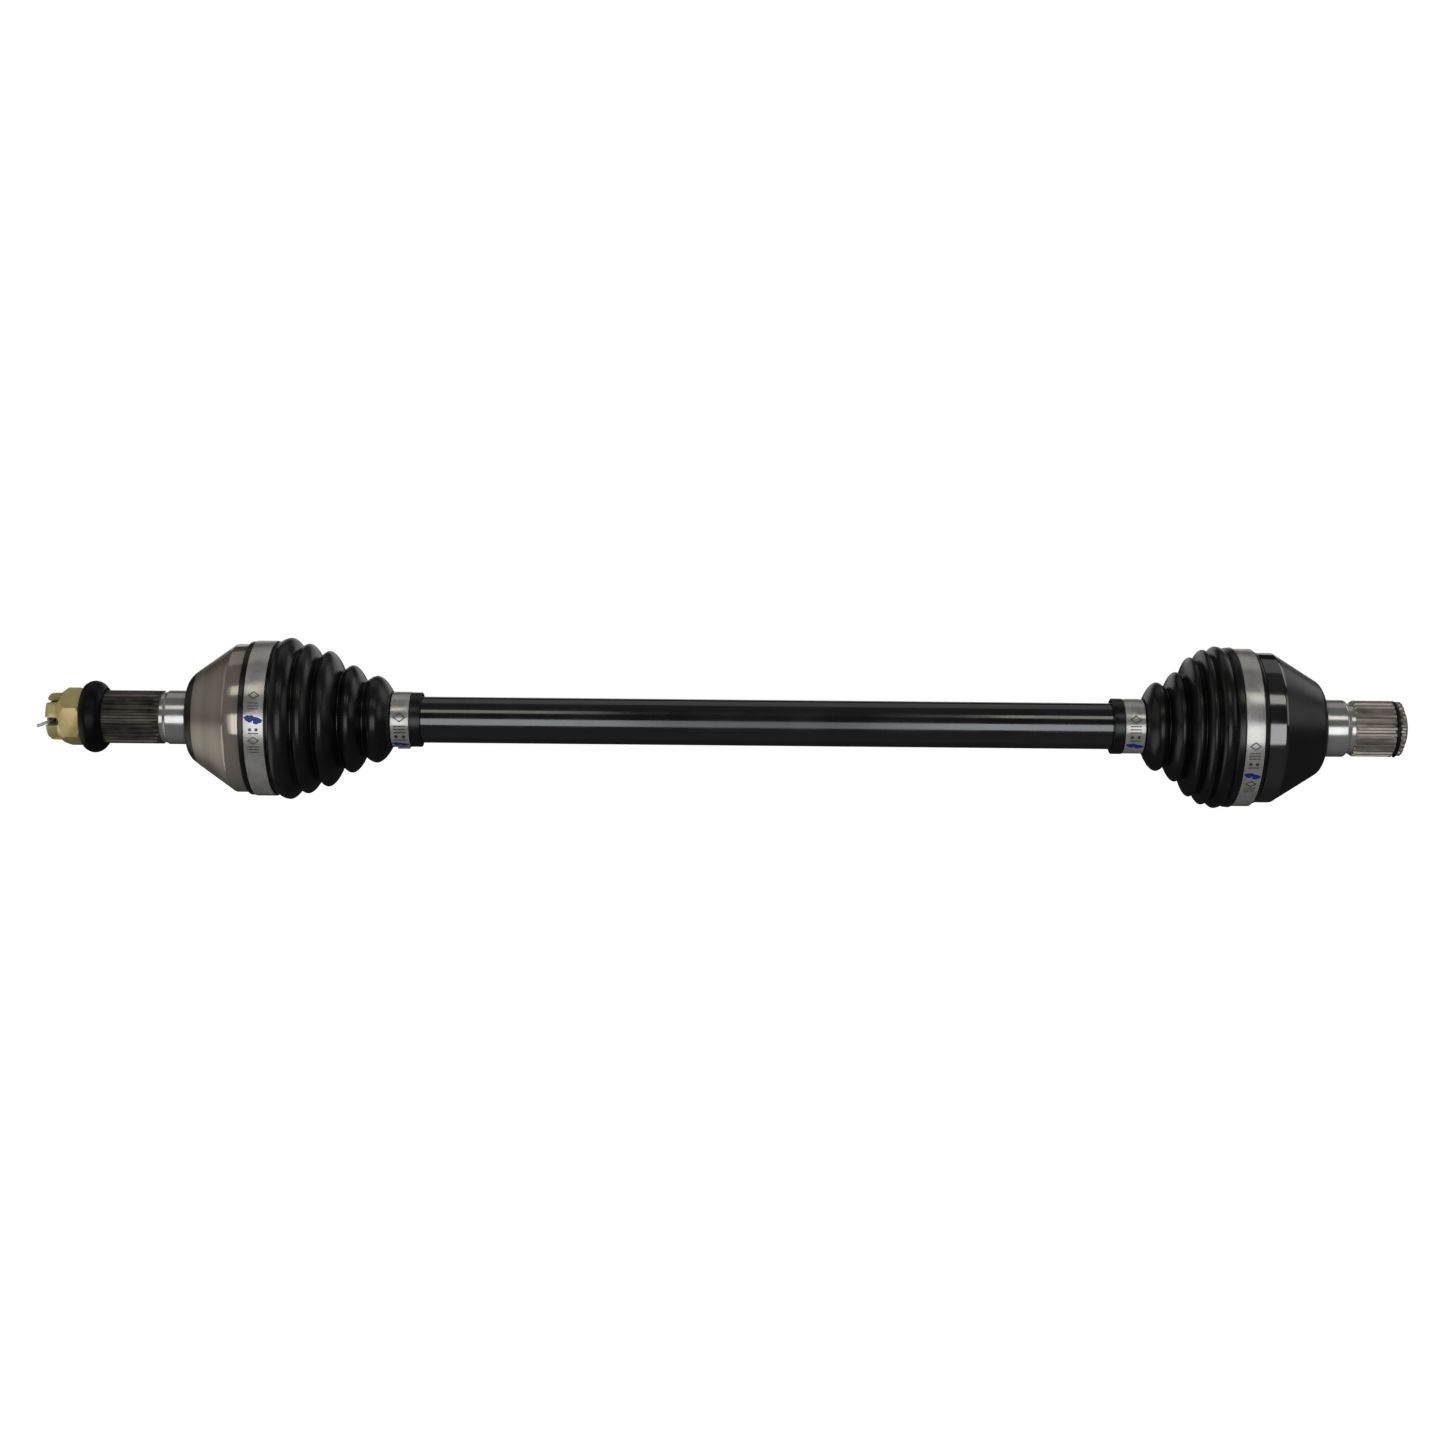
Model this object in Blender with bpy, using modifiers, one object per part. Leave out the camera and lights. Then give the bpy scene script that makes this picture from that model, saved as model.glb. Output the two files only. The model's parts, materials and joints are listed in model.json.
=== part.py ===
"""A CV axle: a solid bar with a ball-type fixed joint at the wheel end (-X) and a plunging ball joint at
the gearbox end (+X). The origin is at mid-length on the axis, and all lengths below are in millimetres."""

import math

import bmesh
import bpy
from mathutils import Matrix, Vector

MM = 0.001
STEPS = 24  # sides of every turned piece
GAP = 0.3  # running and assembly gap between touching pieces
BALLS = 6

BAR_RADIUS = 13.0
BAR_SEAT_RADIUS = 11.0  # splined ends of the bar, under the inner races

# Wheel end: fixed joint.
OUTER_CENTRE = -267.1
OUTER_BALL = 7.14
OUTER_CIRCLE = 27.6  # radius of the ball circle
OUTER_GROOVE = 8.75
OUTER_RACE = (24.4, 13.0)  # sphere radius, half width
OUTER_CAGE = (29.7, 24.9, 12.5)  # outside and inside sphere radius, half width
OUTER_CAVITY = 30.15
OUTER_MOUTH = -249.5
OUTER_SHOULDER = -300.0
OUTER_BELL_RADIUS = 41.8
OUTER_SEAT_RADIUS = 40.2  # under the boot
OUTER_SPLINE = (-349.6, -315.6, 15.0, 13.5, 28)  # from, to, tip radius, root radius, teeth
THREAD_RADIUS = 9.8
THREAD_END = -379.3

# Gearbox end: plunging joint.
INNER_CENTRE = 301.0
INNER_BALL = 6.5
INNER_CIRCLE = 25.0
INNER_GROOVE = 7.1
INNER_RACE = (21.9, 11.5)
INNER_CAGE = (27.0, 22.3, 11.0)
INNER_BORE = 27.4
INNER_GROOVE_END = 320.6
INNER_MOUTH = 278.8
INNER_SHOULDER = 337.0
INNER_BELL_RADIUS = 42.3
INNER_SEAT_RADIUS = 40.9
INNER_SPLINE = (354.7, 376.4, 15.8, 14.3, 27)
INNER_END = 385.0
# The snap rings' inside radius, outside radius and width.
RACE_CLIP = (BAR_SEAT_RADIUS - 0.7, 12.4, 1.5)
RETAINER_X = 280.0
RETAINER = (INNER_BORE - 0.6, INNER_BORE + 1.0, 1.5)
STUB_CLIP_X = 378.1
STUB_CLIP = (13.4, 16.2, 1.6)

# Hub nut, thick washer and cotter pin.
NUT_FLATS = 29.0
NUT_CROWN_RADIUS = 13.3
NUT_CROWN_END = -379.4
NUT_HEX_END = -372.6
NUT_FACE = -360.3
SLOT_WIDTH = 5.0
SLOT_DEPTH = 8.2
SLOT_TILT = math.radians(14)  # the cotter pin's slot lies this far below the front
WASHER_BACK = -347.6
WASHER_RECESS = (-350.2, 15.3)  # floor and radius of the recess over the end of the spline
PIN_WIRE = 0.9
PIN_APART = 1.1  # from the middle of the hole to the middle of each leg
PIN_HOLE = 2.2
PIN_X = -375.8
PIN_TIP = Vector((-382.6, -15.4, -5.6))

# Boots: outline points (x, r) of the ridges, from the small end to the large end, on the wheel side.
RUBBER = 2.2  # radial wall of a ridge
OUTER_RIDGES = [
    (-186.0, 16.4), (-190.5, 22.8), (-193.0, 24.7), (-195.4, 24.6), (-199.8, 21.8),
    (-204.0, 28.6), (-206.8, 30.5), (-208.9, 30.3), (-212.0, 27.6),
    (-216.8, 36.2), (-219.8, 38.4), (-221.6, 38.2), (-225.2, 35.2),
    (-228.0, 40.2), (-230.6, 42.0), (-232.4, 41.9), (-235.4, 40.6),
    (-239.0, 44.9), (-241.2, 45.7), (-243.4, 45.2), (-247.0, 43.8), (-249.0, 43.5),
]
# The gearbox side is mirrored, so its x values are negative here too.
INNER_RIDGES = [
    (-237.0, 16.2), (-240.6, 22.6), (-243.2, 25.0), (-245.2, 24.8), (-249.0, 22.4),
    (-252.2, 28.6), (-254.6, 30.8), (-256.0, 30.6), (-257.4, 29.4),
    (-260.2, 37.0), (-262.2, 39.2), (-263.6, 39.0), (-265.2, 38.0),
    (-267.8, 41.8), (-269.8, 43.6), (-271.2, 43.4), (-272.6, 42.4),
    (-274.4, 44.8), (-276.0, 45.7), (-277.6, 45.4), (-279.8, 43.9), (-281.6, 45.0),
]
OUTER_LARGE_CLAMP = (-261.9, -250.9, 42.9, 43.8)  # from, to, inside and outside radius
OUTER_SMALL_CLAMP = (-185.7, -175.5, 15.0, 15.7)
INNER_LARGE_CLAMP = (286.3, 296.5, 43.7, 44.5)
INNER_SMALL_CLAMP = (225.5, 236.6, 14.7, 15.4)


def clear_scene():
    for thing in list(bpy.data.objects):
        bpy.data.objects.remove(thing)
    for group in list(bpy.data.collections):
        bpy.data.collections.remove(group)


def collection(name):
    made = bpy.data.collections.new(name)
    bpy.context.scene.collection.children.link(made)
    return made


def material(name, colour, roughness, metallic):
    made = bpy.data.materials.new(name)
    made.use_nodes = True
    shader = made.node_tree.nodes["Principled BSDF"]
    shader.inputs["Base Color"].default_value = (*colour, 1)
    shader.inputs["Roughness"].default_value = roughness
    shader.inputs["Metallic"].default_value = metallic
    made.diffuse_color = (*colour, 1)
    return made


clear_scene()
PARTS = collection("cv_axle")
CUTTERS = collection("cutters")
FINISHES = {
    "black_paint": ((0.012, 0.012, 0.013), 0.25, 0.0),
    "turned_steel": ((0.24, 0.21, 0.18), 0.38, 1.0),
    "race_steel": ((0.55, 0.54, 0.52), 0.25, 1.0),
    "ball_steel": ((0.75, 0.75, 0.76), 0.12, 1.0),
    "spring_steel": ((0.08, 0.08, 0.085), 0.4, 1.0),
    "stainless": ((0.68, 0.66, 0.62), 0.3, 1.0),
    "yellow_zinc": ((0.62, 0.50, 0.20), 0.35, 1.0),
    "bright_wire": ((0.8, 0.8, 0.8), 0.25, 1.0),
    "black_steel": ((0.02, 0.02, 0.022), 0.45, 0.6),
    "rubber": ((0.015, 0.015, 0.015), 0.5, 0.0),
}


def finish(thing, name):
    """Gives a piece its own material, coloured as the named finish."""
    thing.data.materials.clear()
    thing.data.materials.append(material(f"{thing.name}_{name}", *FINISHES[name]))
    return thing


def link(name, mesh, group=PARTS):
    thing = bpy.data.objects.new(name, mesh)
    group.objects.link(thing)
    if group is CUTTERS:
        thing.hide_render = True
        thing.display_type = "WIRE"
    return thing


def empty(name, x):
    thing = bpy.data.objects.new(name, None)
    thing.location = (x * MM, 0, 0)
    thing.empty_display_size = 0.01
    PARTS.objects.link(thing)
    return thing


AXLE = empty("axle", 0)
CENTRES = {"outer": empty("outer_joint", OUTER_CENTRE), "inner": empty("inner_joint", INNER_CENTRE)}
for joint_empty in CENTRES.values():
    joint_empty.parent = AXLE


def place(thing, side, x=None):
    """Parents a piece to its joint's centre, and keeps where it stands along the axle."""
    parent = CENTRES.get(side, AXLE)
    at = parent.location.x if side in CENTRES else 0.0
    thing.parent = parent
    thing.location = (0 if x is None else x * MM - at, 0, 0)
    return thing


def turned(name, outline, side=None, closed=False, group=PARTS):
    """A piece turned about the X axis. The outline's (x, r) points run along the outer side towards -X;
    a closed one comes back along its inner side."""
    origin = {"outer": OUTER_CENTRE, "inner": INNER_CENTRE}.get(side, 0.0)
    mesh = bpy.data.meshes.new(name)
    points = [(r * MM, 0, (x - origin) * MM) for x, r in outline]
    edges = [(i, i + 1) for i in range(len(points) - 1)]
    if closed:
        edges.append((len(points) - 1, 0))
    mesh.from_pydata(points, edges, [])
    thing = place(link(name, mesh, group), side)
    thing.rotation_euler = (0, math.pi / 2, 0)
    screw = thing.modifiers.new("turn", "SCREW")
    screw.axis = "Z"
    screw.steps = screw.render_steps = STEPS
    screw.use_merge_vertices = True
    screw.merge_threshold = 0.00001
    screw.use_smooth_shade = True
    return thing


def arc(centre_x, radius, start_x, end_x, pieces):
    """Points on a circle about the axle's axis, from one x to another, measured from its centre."""
    first, last = (math.acos(max(-1.0, min(1.0, x / radius))) for x in (start_x, end_x))
    angles = [first + (last - first) * i / pieces for i in range(pieces + 1)]
    return [(centre_x + radius * math.cos(a), radius * math.sin(a)) for a in angles]


def boolean(thing, other, operation, label):
    modifier = thing.modifiers.new(label, "BOOLEAN")
    modifier.operation = operation
    modifier.object = other


def to_mesh(thing):
    """Turns a curve object into a closed mesh object of the same name."""
    bpy.context.view_layer.update()
    graph = bpy.context.evaluated_depsgraph_get()
    mesh = bpy.data.meshes.new_from_object(thing.evaluated_get(graph))
    form = bmesh.new()
    form.from_mesh(mesh)
    bmesh.ops.remove_doubles(form, verts=form.verts, dist=0.000001)
    bmesh.ops.recalc_face_normals(form, faces=form.faces)
    form.to_mesh(mesh)
    form.free()
    name, group, place_of = thing.name, thing.users_collection[0], thing.matrix_world.copy()
    bpy.data.objects.remove(thing)
    made = link(name, mesh, group)
    made.matrix_world = place_of
    return made


def tubes(name, paths, radius, resolution, group):
    """One or more round bars along the given paths of points, as one mesh."""
    curve = bpy.data.curves.new(name, "CURVE")
    curve.dimensions = "3D"
    curve.bevel_depth = radius * MM
    curve.bevel_resolution = resolution
    curve.use_fill_caps = True
    for path in paths:
        spline = curve.splines.new("POLY")
        spline.points.add(len(path) - 1)
        for point, at in zip(spline.points, path):
            point.co = (*(c * MM for c in at), 1)
    return to_mesh(link(name, curve, group))


def prism(name, outline, from_x, to_x, group):
    """A flat outline in the plane across the axle, given as (y, z), made solid from one x to the other."""
    curve = bpy.data.curves.new(name, "CURVE")
    curve.dimensions = "2D"
    curve.fill_mode = "BOTH"
    curve.extrude = abs(to_x - from_x) / 2 * MM
    spline = curve.splines.new("POLY")
    spline.points.add(len(outline) - 1)
    for point, (y, z) in zip(spline.points, outline):
        point.co = (y * MM, z * MM, 0, 1)
    spline.use_cyclic_u = True
    thing = link(name, curve, group)
    thing.matrix_world = Matrix.Translation(((from_x + to_x) / 2 * MM, 0, 0)) @ Matrix(
        ((0, 0, 1, 0), (1, 0, 0, 0), (0, 1, 0, 0), (0, 0, 0, 1))
    )
    return to_mesh(thing)


def toothed(tip, root, teeth):
    """The outline of a splined shaft: each tooth has a flat top and sloping flanks."""
    points = []
    for tooth in range(teeth):
        middle = math.tau * tooth / teeth
        for turn, radius in ((-0.30, root), (-0.16, tip), (0.16, tip), (0.30, root)):
            angle = middle + turn * math.tau / teeth
            points.append((radius * math.cos(angle), radius * math.sin(angle)))
    return points


def box(name, centre, size, turn=0.0, group=CUTTERS):
    """A box with its turn about the X axis; centre and size are in millimetres before that turn."""
    form = bmesh.new()
    bmesh.ops.create_cube(form, size=1)
    bmesh.ops.scale(form, vec=[s * MM for s in size], verts=form.verts)
    bmesh.ops.translate(form, vec=[c * MM for c in centre], verts=form.verts)
    bmesh.ops.rotate(form, matrix=Matrix.Rotation(turn, 3, "X"), verts=form.verts)
    mesh = bpy.data.meshes.new(name)
    form.to_mesh(mesh)
    form.free()
    return link(name, mesh, group)


def merged(name, things):
    """One cutter from several separate closed ones."""
    form = bmesh.new()
    for thing in things:
        piece = thing.data.copy()
        piece.transform(thing.matrix_world)
        form.from_mesh(piece)
        bpy.data.meshes.remove(piece)
    mesh = bpy.data.meshes.new(name)
    form.to_mesh(mesh)
    form.free()
    for thing in things:
        bpy.data.objects.remove(thing)
    return link(name, mesh, CUTTERS)


def ball_angle(index):
    """The balls stand at 60 degree steps, the first on +Y."""
    return math.tau * index / BALLS


def around(x, radius, angle):
    return (x, radius * math.cos(angle), radius * math.sin(angle))


def curved_grooves(name, centre, radius, tube, start, end, pieces):
    """Grooves along circles about the joint's centre, between two angles from +X."""
    paths = []
    for index in range(BALLS):
        angles = [start + (end - start) * i / pieces for i in range(pieces + 1)]
        paths.append(
            [around(centre + radius * math.cos(a), radius * math.sin(a), ball_angle(index)) for a in angles]
        )
    return tubes(name, paths, tube, 6, CUTTERS)


def straight_grooves(name, radius, tube, from_x, to_x):
    paths = [[around(x, radius, ball_angle(i)) for x in (from_x, to_x)] for i in range(BALLS)]
    return tubes(name, paths, tube, 6, CUTTERS)


def windows(name, centre, ball, inside, outside):
    """The cage's six windows, as boxes that reach through its wall."""
    half = ball + 0.4
    middle, depth = (inside + outside) / 2, outside - inside + 14
    made = []
    for index in range(BALLS):
        size = (2 * half, depth, 2 * half)
        made.append(box(f"{name}_{index}", (centre, middle, 0), size, ball_angle(index)))
    return merged(name, made)


def axle_bar():
    far = BAR_RADIUS - 1.5
    clip = BAR_SEAT_RADIUS - 1.0
    seat = BAR_SEAT_RADIUS
    tip = seat - 0.8
    outline = [
        (316.2, 0), (316.2, tip), (315.4, seat), (314.7, seat), (314.7, clip), (312.6, clip), (312.6, seat),
        (268.0, seat), (262.0, BAR_RADIUS), (-238.0, BAR_RADIUS), (-243.0, far), (-253.8, far),
        (-253.8, seat), (-280.2, seat), (-280.2, clip), (-282.3, clip), (-282.3, seat), (-283.2, seat),
        (-284.0, tip), (-284.0, 0),
    ]
    finish(turned("axle_bar", outline), "black_paint")


def race(side, centre, sphere, half, circle, groove):
    outline = arc(centre, sphere, half, -half, 6)
    bore = BAR_SEAT_RADIUS + GAP
    outline += [(centre - half, bore), (centre + half, bore)]
    thing = turned(f"{side}_inner_race", outline, side, closed=True)
    angles = (math.radians(40), math.radians(140))
    grooves = curved_grooves(f"{side}_race_grooves", centre, circle, groove, *angles, 9)
    boolean(thing, grooves, "DIFFERENCE", "grooves")
    finish(thing, "race_steel")


def cage(side, centre, outside, inside, half, ball):
    outline = arc(centre, outside, half, -half, 5) + arc(centre, inside, -half, half, 5)
    thing = turned(f"{side}_cage", outline, side, closed=True)
    boolean(thing, windows(f"{side}_windows", centre, ball, inside, outside), "DIFFERENCE", "windows")
    finish(thing, "race_steel")


def balls(side, centre, radius, circle):
    for index in range(BALLS):
        form = bmesh.new()
        bmesh.ops.create_uvsphere(form, u_segments=12, v_segments=8, radius=radius * MM)
        at = [c * MM for c in around(0, circle, ball_angle(index))]
        bmesh.ops.translate(form, vec=at, verts=form.verts)
        name = f"{side}_ball_{index + 1}"
        mesh = bpy.data.meshes.new(name)
        form.to_mesh(mesh)
        form.free()
        mesh.shade_smooth()
        finish(place(link(name, mesh), side), "ball_steel")


def split_ring(name, x, inside, outside, width, side, opening, finish_name):
    """A snap ring with a gap at the bottom."""
    half = width / 2
    outline = [(x + half, outside), (x - half, outside), (x - half, inside), (x + half, inside)]
    thing = turned(name, outline, side, closed=True)
    cutter = box(f"{name}_gap", (x, 0, -(inside + outside) / 2), (width + 4, opening, outside - inside + 4))
    boolean(thing, cutter, "DIFFERENCE", "gap")
    finish(thing, finish_name)


def outer_bell():
    """The bell, its splined stub and its thread are one forging."""
    core = OUTER_SPLINE[3] - 1.5
    cavity = arc(OUTER_CENTRE, OUTER_CAVITY, -OUTER_CAVITY, 10.2, 9)
    cavity[0] = (OUTER_CENTRE - OUTER_CAVITY, 0)
    outline = cavity + [
        (OUTER_MOUTH, 37.5), (OUTER_MOUTH, OUTER_SEAT_RADIUS), (-261.5, OUTER_SEAT_RADIUS),
        (-261.5, OUTER_BELL_RADIUS), (-271.4, OUTER_BELL_RADIUS), (-273.2, 40.9), (-295.9, 26.0),
        (-298.8, 23.8), (OUTER_SHOULDER, 21.6), (OUTER_SHOULDER, 15.25), (-312.5, 15.25), (-312.5, 14.4),
        (-315.9, 14.4), (-315.9, core), (-348.2, core), (-348.2, THREAD_RADIUS),
        (THREAD_END + 1.3, THREAD_RADIUS), (THREAD_END, 8.4), (THREAD_END, 0),
    ]
    thing = turned("outer_housing", outline, "outer")
    first, last, tip, root, teeth = OUTER_SPLINE
    boolean(thing, prism("outer_teeth", toothed(tip, root, teeth), first, last, CUTTERS), "UNION", "spline")
    angles = (math.radians(40), math.radians(128.5))
    grooves = curved_grooves("outer_grooves", OUTER_CENTRE, OUTER_CIRCLE, OUTER_GROOVE, *angles, 8)
    boolean(thing, grooves, "DIFFERENCE", "grooves")
    along = Vector((0, -math.cos(SLOT_TILT), -math.sin(SLOT_TILT)))
    hole = [[tuple(Vector((PIN_X, 0, 0)) + along * s) for s in (-14, 14)]]
    boolean(thing, tubes("pin_hole", hole, PIN_HOLE, 4, CUTTERS), "DIFFERENCE", "pin hole")
    finish(thing, "turned_steel")


def inner_bell():
    """The cup of the plunging joint and its splined stub."""
    core = INNER_SPLINE[3] - 1.3
    ring = (RETAINER_X - 1.0, RETAINER_X + 1.0, INNER_BORE + 1.3)
    outline = [
        (INNER_END, 0), (INNER_END, 7.6), (381.0, 14.4), (STUB_CLIP_X + 1.1, 14.4), (STUB_CLIP_X + 1.1, core),
        (354.3, core), (354.3, 14.1), (351.3, 14.1), (350.0, 16.1), (INNER_SHOULDER, 16.1),
        (INNER_SHOULDER, 21.8), (336.1, 24.2), (334.4, 26.3), (309.6, 41.8), (308.4, INNER_BELL_RADIUS),
        (299.4, INNER_BELL_RADIUS), (299.4, INNER_SEAT_RADIUS), (INNER_MOUTH, INNER_SEAT_RADIUS),
        (INNER_MOUTH, 29.0), (INNER_MOUTH + 0.2, INNER_BORE), (ring[0], INNER_BORE), (ring[0], ring[2]),
        (ring[1], ring[2]), (ring[1], INNER_BORE), (322.6, INNER_BORE), (329.4, 17.0), (329.4, 0),
    ]
    thing = turned("inner_housing", outline, "inner")
    first, last, tip, root, teeth = INNER_SPLINE
    boolean(thing, prism("inner_teeth", toothed(tip, root, teeth), first, last, CUTTERS), "UNION", "spline")
    grooves = straight_grooves("inner_grooves", INNER_CIRCLE, INNER_GROOVE, INNER_MOUTH - 4, INNER_GROOVE_END)
    boolean(thing, grooves, "DIFFERENCE", "grooves")
    finish(thing, "black_paint")


def castle_nut():
    """A hexagon with a round slotted crown. The slots lie across the middles of the flats."""
    corner = NUT_FLATS / 2 / math.cos(math.pi / 6)
    angles = [math.pi + SLOT_TILT + math.pi / 6 + math.tau * i / 6 for i in range(6)]
    hexagon = [(corner * math.cos(a), corner * math.sin(a)) for a in angles]
    thing = prism("castle_nut", hexagon, NUT_HEX_END, NUT_FACE, PARTS)
    bore = THREAD_RADIUS + GAP
    limit = [
        (NUT_FACE + 1, 0), (NUT_FACE + 1, corner - 0.6), (NUT_HEX_END + 4.2, corner - 0.2),
        (NUT_HEX_END - 1, NUT_CROWN_RADIUS - 0.3), (NUT_HEX_END - 1, 0),
    ]
    chamfer = turned("nut_chamfer", limit, group=CUTTERS)
    boolean(thing, chamfer, "INTERSECT", "corners")
    crown = [
        (NUT_HEX_END + 3, 0), (NUT_HEX_END + 3, NUT_CROWN_RADIUS - 0.1), (NUT_HEX_END, NUT_CROWN_RADIUS),
        (NUT_CROWN_END + 2.4, NUT_CROWN_RADIUS), (NUT_CROWN_END + 0.8, NUT_CROWN_RADIUS - 0.7),
        (NUT_CROWN_END, NUT_CROWN_RADIUS - 2.2), (NUT_CROWN_END, 0),
    ]
    boolean(thing, turned("nut_crown", crown, group=CUTTERS), "UNION", "crown")
    hole = [(NUT_FACE + 3, 0), (NUT_FACE + 3, bore), (NUT_CROWN_END - 3, bore), (NUT_CROWN_END - 3, 0)]
    boolean(thing, turned("nut_bore", hole, group=CUTTERS), "DIFFERENCE", "bore")
    slots = []
    for index in range(6):
        centre = (NUT_CROWN_END + SLOT_DEPTH / 2 - 2, 12.5, 0)
        size = (SLOT_DEPTH + 4, 11, SLOT_WIDTH)
        slots.append(box(f"slot_{index}", centre, size, SLOT_TILT + math.tau * index / 6))
    boolean(thing, merged("nut_slots", slots), "DIFFERENCE", "slots")
    finish(thing, "yellow_zinc")


def hub_washer():
    bore = THREAD_RADIUS + GAP
    face = NUT_FACE + GAP
    floor, recess = WASHER_RECESS
    outline = [
        (WASHER_BACK, 16.2), (-349.2, 18.3), (-351.2, 19.8), (-353.6, 20.35), (-356.2, 20.35), (-358.6, 19.0),
        (face, 16.7), (face, bore), (floor, bore), (floor, recess), (WASHER_BACK, recess),
    ]
    finish(turned("hub_washer", outline, closed=True), "black_steel")


def cotter_pin():
    """A split pin of one wire: an eye behind the nut, one leg bent past the end of the thread."""
    along = Vector((0, -math.cos(SLOT_TILT), -math.sin(SLOT_TILT)))
    near, far = (Vector((PIN_X + s * PIN_APART, 0, 0)) for s in (-1, 1))
    eye = [
        Vector((PIN_X, 0, 0)) - along * 17.2 + Vector((math.sin(a), 0, 0)) * 2.7 - along * math.cos(a) * 2.7
        for a in (math.radians(d) for d in range(-135, 136, 30))
    ]
    path = [
        PIN_TIP, near + along * 15.2 + Vector((-3.2, 0, -0.9)), near + along * 14.4 + Vector((-0.9, 0, -0.1)),
        near + along * 12.6, near - along * 13.4, *eye, far - along * 13.4, far + along * 13.9,
    ]
    finish(tubes("cotter_pin", [[tuple(p) for p in path]], PIN_WIRE, 2, PARTS), "bright_wire")


def boot(name, ridges, neck, seat, edge, side, mirrored):
    """A ridged boot. neck is (tip x, clamp from, clamp to, lip radius, clamp radius); seat is the clamp
    seat (from, to, radius, lip radius); edge is (end x, step x, inside radius, inside radius past it)."""
    tip, clamp_near, clamp_far, lip, waist = neck
    outer = [(tip, lip), (clamp_near, lip), (clamp_near, waist), (clamp_far, waist)] + ridges
    seat_near, seat_far, seat_radius, edge_radius = seat
    end, step, inside, inside_past = edge
    outer += [(seat_near, ridges[-1][1] - 0.3), (seat_near, seat_radius), (seat_far, seat_radius)]
    outer += [(seat_far - 0.1, edge_radius), (end + 0.5, edge_radius), (end, edge_radius - 0.5)]
    inner = [(end, inside_past), (step, inside_past), (step, inside), (ridges[-1][0], inside)]
    inner += [(x, r - RUBBER) for x, r in reversed(ridges[1:-1])]
    inner += [(ridges[0][0] + 1.0, BAR_RADIUS + GAP), (tip, BAR_RADIUS + GAP)]
    outline = outer + inner
    if mirrored:
        outline = [(-x, r) for x, r in reversed(outline)]
    finish(turned(name, outline, side, closed=True), "rubber")


def clamp(name, band, side, ear_turn, ear_size):
    """A steel band with its crimped ear."""
    first, last, inside, outside = band
    outline = [(last, outside), (first, outside), (first, inside), (last, inside)]
    thing = turned(name, outline, side, closed=True)
    middle = (first + last) / 2
    height, width, length = ear_size
    sunk = 0.3
    centre = (middle, outside + (height - sunk) / 2, 0)
    ear = box(f"{name}_ear", centre, (length, height + sunk, width), ear_turn)
    boolean(thing, ear, "UNION", "ear")
    finish(thing, "stainless")


def shade():
    """Rounds the shading of turned and curved pieces, and keeps their edges crisp."""
    for thing in PARTS.objects:
        if thing.type == "MESH":
            thing.data.shade_smooth()
            thing.data.set_sharp_from_angle(angle=math.radians(35))


axle_bar()
outer_bell()
race("outer", OUTER_CENTRE, *OUTER_RACE, OUTER_CIRCLE, OUTER_GROOVE)
cage("outer", OUTER_CENTRE, *OUTER_CAGE, OUTER_BALL)
balls("outer", OUTER_CENTRE, OUTER_BALL, OUTER_CIRCLE)
split_ring("outer_race_circlip", -281.25, *RACE_CLIP, "outer", 3.0, "spring_steel")
boot(
    "outer_boot", OUTER_RIDGES, (-169.3, -175.2, -186.0, 15.5, 14.7), (-250.4, -262.4, 42.4, 43.2),
    (-265.2, -261.2, OUTER_SEAT_RADIUS + GAP, OUTER_BELL_RADIUS + GAP), "outer", False,
)
clamp("outer_boot_large_clamp", OUTER_LARGE_CLAMP, "outer", math.radians(35), (1.9, 12.0, 7.0))
clamp("outer_boot_small_clamp", OUTER_SMALL_CLAMP, None, math.radians(-60), (2.2, 7.0, 7.0))
castle_nut()
hub_washer()
cotter_pin()
inner_bell()
race("inner", INNER_CENTRE, *INNER_RACE, INNER_CIRCLE, INNER_GROOVE)
cage("inner", INNER_CENTRE, *INNER_CAGE, INNER_BALL)
balls("inner", INNER_CENTRE, INNER_BALL, INNER_CIRCLE)
split_ring("inner_race_circlip", 313.65, *RACE_CLIP, "inner", 3.0, "spring_steel")
split_ring("inner_retaining_ring", RETAINER_X, *RETAINER, "inner", 5.0, "spring_steel")
split_ring("inner_stub_circlip", STUB_CLIP_X, *STUB_CLIP, "inner", 4.0, "spring_steel")
boot(
    "inner_boot", INNER_RIDGES, (-219.1, -225.2, -236.9, 15.6, 14.4), (-285.9, -296.9, 43.3, 43.1),
    (-299.0, -298.0, INNER_SEAT_RADIUS + GAP, INNER_SEAT_RADIUS + GAP), "inner", True,
)
clamp("inner_boot_large_clamp", INNER_LARGE_CLAMP, "inner", math.radians(-35), (1.2, 12.0, 7.0))
clamp("inner_boot_small_clamp", INNER_SMALL_CLAMP, None, math.radians(40), (2.2, 7.0, 7.0))
shade()
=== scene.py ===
"""Looks of the CV axle: finely turned metal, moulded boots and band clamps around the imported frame.
Lengths in the outlines are in millimetres along the axle from mid-length, which is the frame's origin."""
import json
import math

import bmesh
import bpy
from mathutils import Matrix, Vector

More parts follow.
